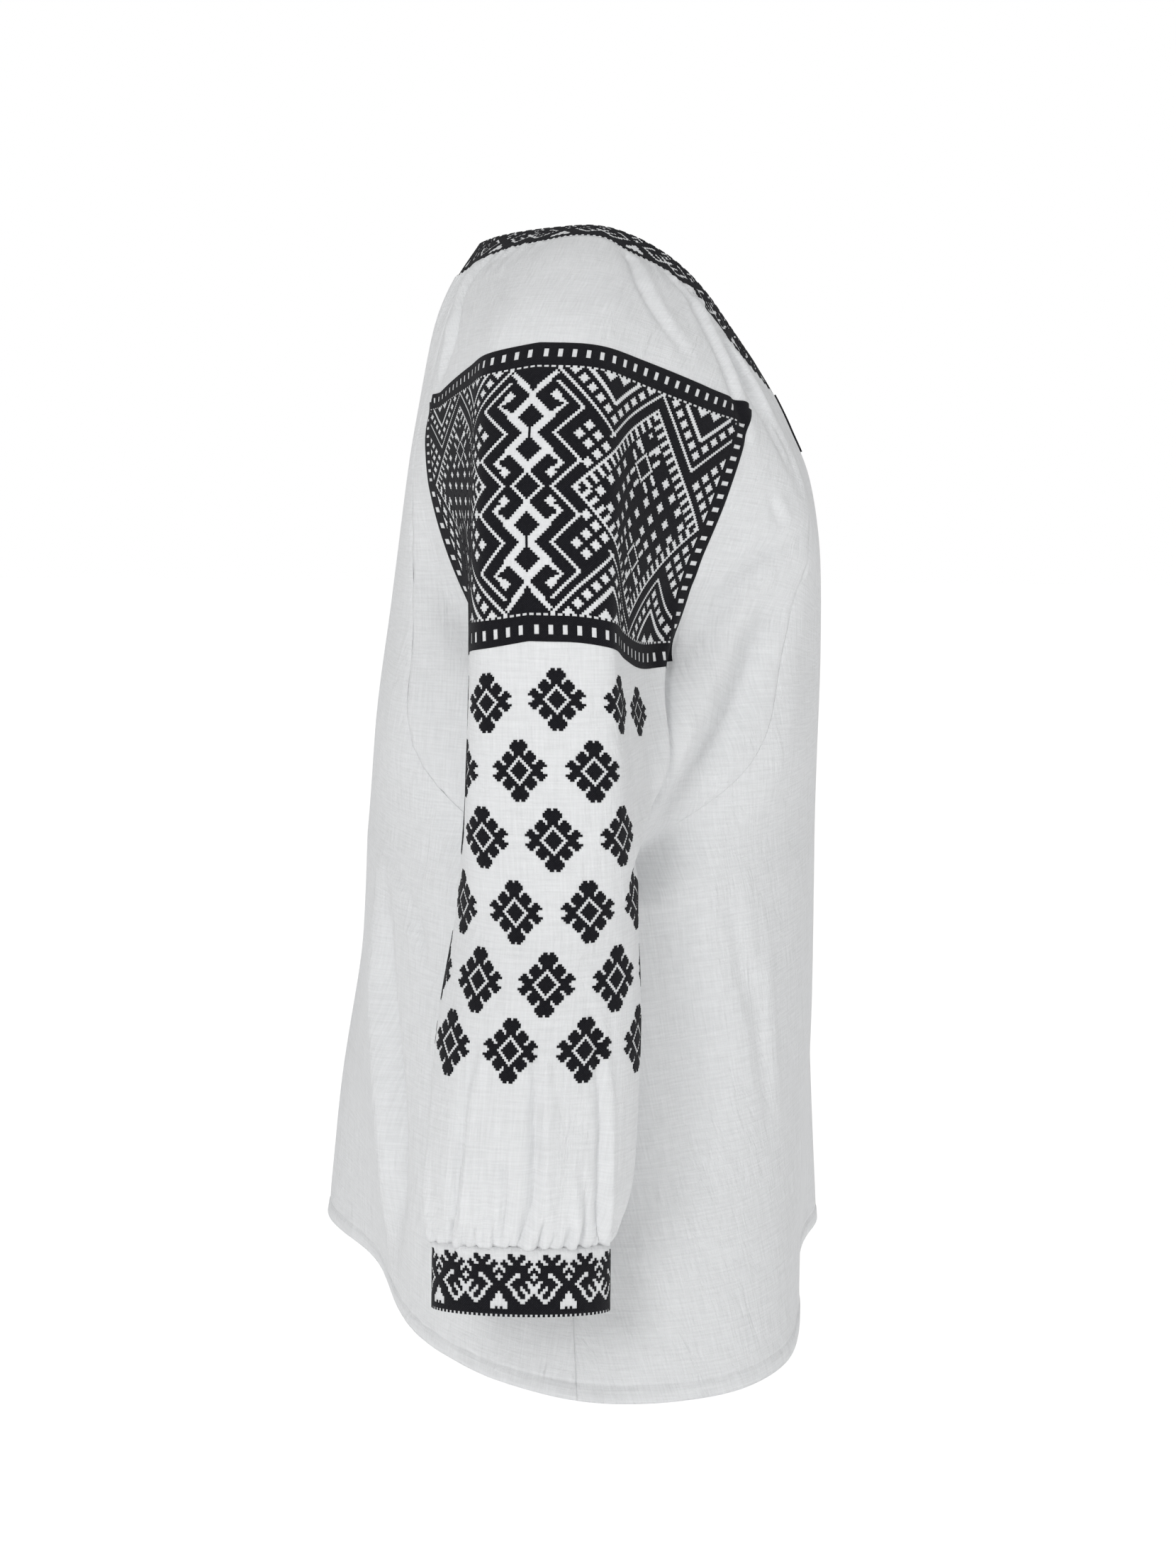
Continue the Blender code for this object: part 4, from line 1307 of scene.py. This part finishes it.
for side in ("right", "left"):
    sleeve, cuff = sheets["sleeve_" + side], sheets["cuff_" + side]
    stitched(f"{side}_shoulder_panel", sleeve, panel_squares, [(0.0, PANEL_TOP)], PANEL_SQUARE)
    stitched(f"{side}_sprigs", sleeve, small_squares, sprig_spots(), SMALL_SQUARE)
    square = filling(cuff.width[-1], cuff.down[-1] + CUFF_OVERHANG, cuff_squares)
    stitched(f"{side}_cuff_stitching", cuff, cuff_squares, [(CUFF_AROUND, 0.0)], square)
band, front = sheets["neck_band"], sheets["front_panel"]
square = filling(band.width.mean() - SLIT_WIDTH, band.down[-1], band_squares)
stitched("neck_band_stitching", band, band_squares, [(0.0, 0.0)], square, fanned=True)
edge_long = np.interp(EDGING_FOOT_STATION, front.stations, front.down)
edging = np.ones((int(edge_long / EDGING), 1), bool)
edge_spots = [(side * (SLIT_WIDTH / 2 + EDGING / 2), 0.0) for side in (-1, 1)]
stitched("slit_edging", front, edging, edge_spots, (EDGING, EDGING), EDGING_LIFT)

# %% [markdown]
# ## Floor and light
# A white floor far below and a white background. Soft light comes from all sides, and three
# soft lights add to it: from the camera's side, from above and from the front.

# %% Floor, lights and background
FLOOR_Z, FLOOR_HALF = -1.25, 9.0
WHITE, PALE = (1, 1, 1, 1), (0.9, 0.9, 0.9, 1)
# The background's strength as a light and as the camera sees it
WORLD_LIGHT, WORLD_SEEN = 0.34, 1.0
BLOUSE_MIDDLE = Vector((0, 0, -0.35))

floor_mesh = bpy.data.meshes.new("floor")
net = bmesh.new()
bmesh.ops.create_grid(net, x_segments=1, y_segments=1, size=FLOOR_HALF)
net.to_mesh(floor_mesh)
net.free()
floor = bpy.data.objects.new("floor", floor_mesh)
floor.location.z = FLOOR_Z
bpy.context.scene.collection.objects.link(floor)
pale = bpy.data.materials.new("pale_floor")
pale.use_nodes = True
set_inputs(pale.node_tree.nodes["Principled BSDF"], {
    "Base Color": PALE, "Roughness": 0.9, "Emission Color": WHITE, "Emission Strength": 0.72})
floor_mesh.materials.append(pale)

world = bpy.data.worlds.new("studio")
bpy.context.scene.world = world
world.use_nodes = True
background = world.node_tree.nodes["Background"]
set_inputs(background, {"Color": WHITE})
seen = world.node_tree.nodes.new("ShaderNodeLightPath")
strength = world.node_tree.nodes.new("ShaderNodeMapRange")
set_inputs(strength, {"To Min": WORLD_LIGHT, "To Max": WORLD_SEEN})
world.node_tree.links.new(seen.outputs["Is Camera Ray"], strength.inputs["Value"])
world.node_tree.links.new(strength.outputs["Result"], background.inputs["Strength"])
bpy.context.scene.view_settings.view_transform = "Standard"


def soft_light(name, place, size, power):
    """A square soft light that looks at the middle of the blouse."""
    data = bpy.data.lights.new(name, "AREA")
    data.size = size
    data.energy = power
    light = bpy.data.objects.new(name, data)
    light.location = place
    light.rotation_euler = (BLOUSE_MIDDLE - Vector(place)).to_track_quat("-Z", "Y").to_euler()
    bpy.context.scene.collection.objects.link(light)


soft_light("key_light", (-1.54, 0.40, 0.20), size=0.4, power=5.8)
soft_light("top_light", (-1.0, 0.1, 1.6), size=1.0, power=10)
soft_light("front_light", (-0.9, -2.0, 0.6), size=1.2, power=5)
print("stage ready")

# %% Cut sizes, the box and the end
for node, piece in pieces.items():
    sheet = sheets[node]
    long = float(sheet.down[-1])
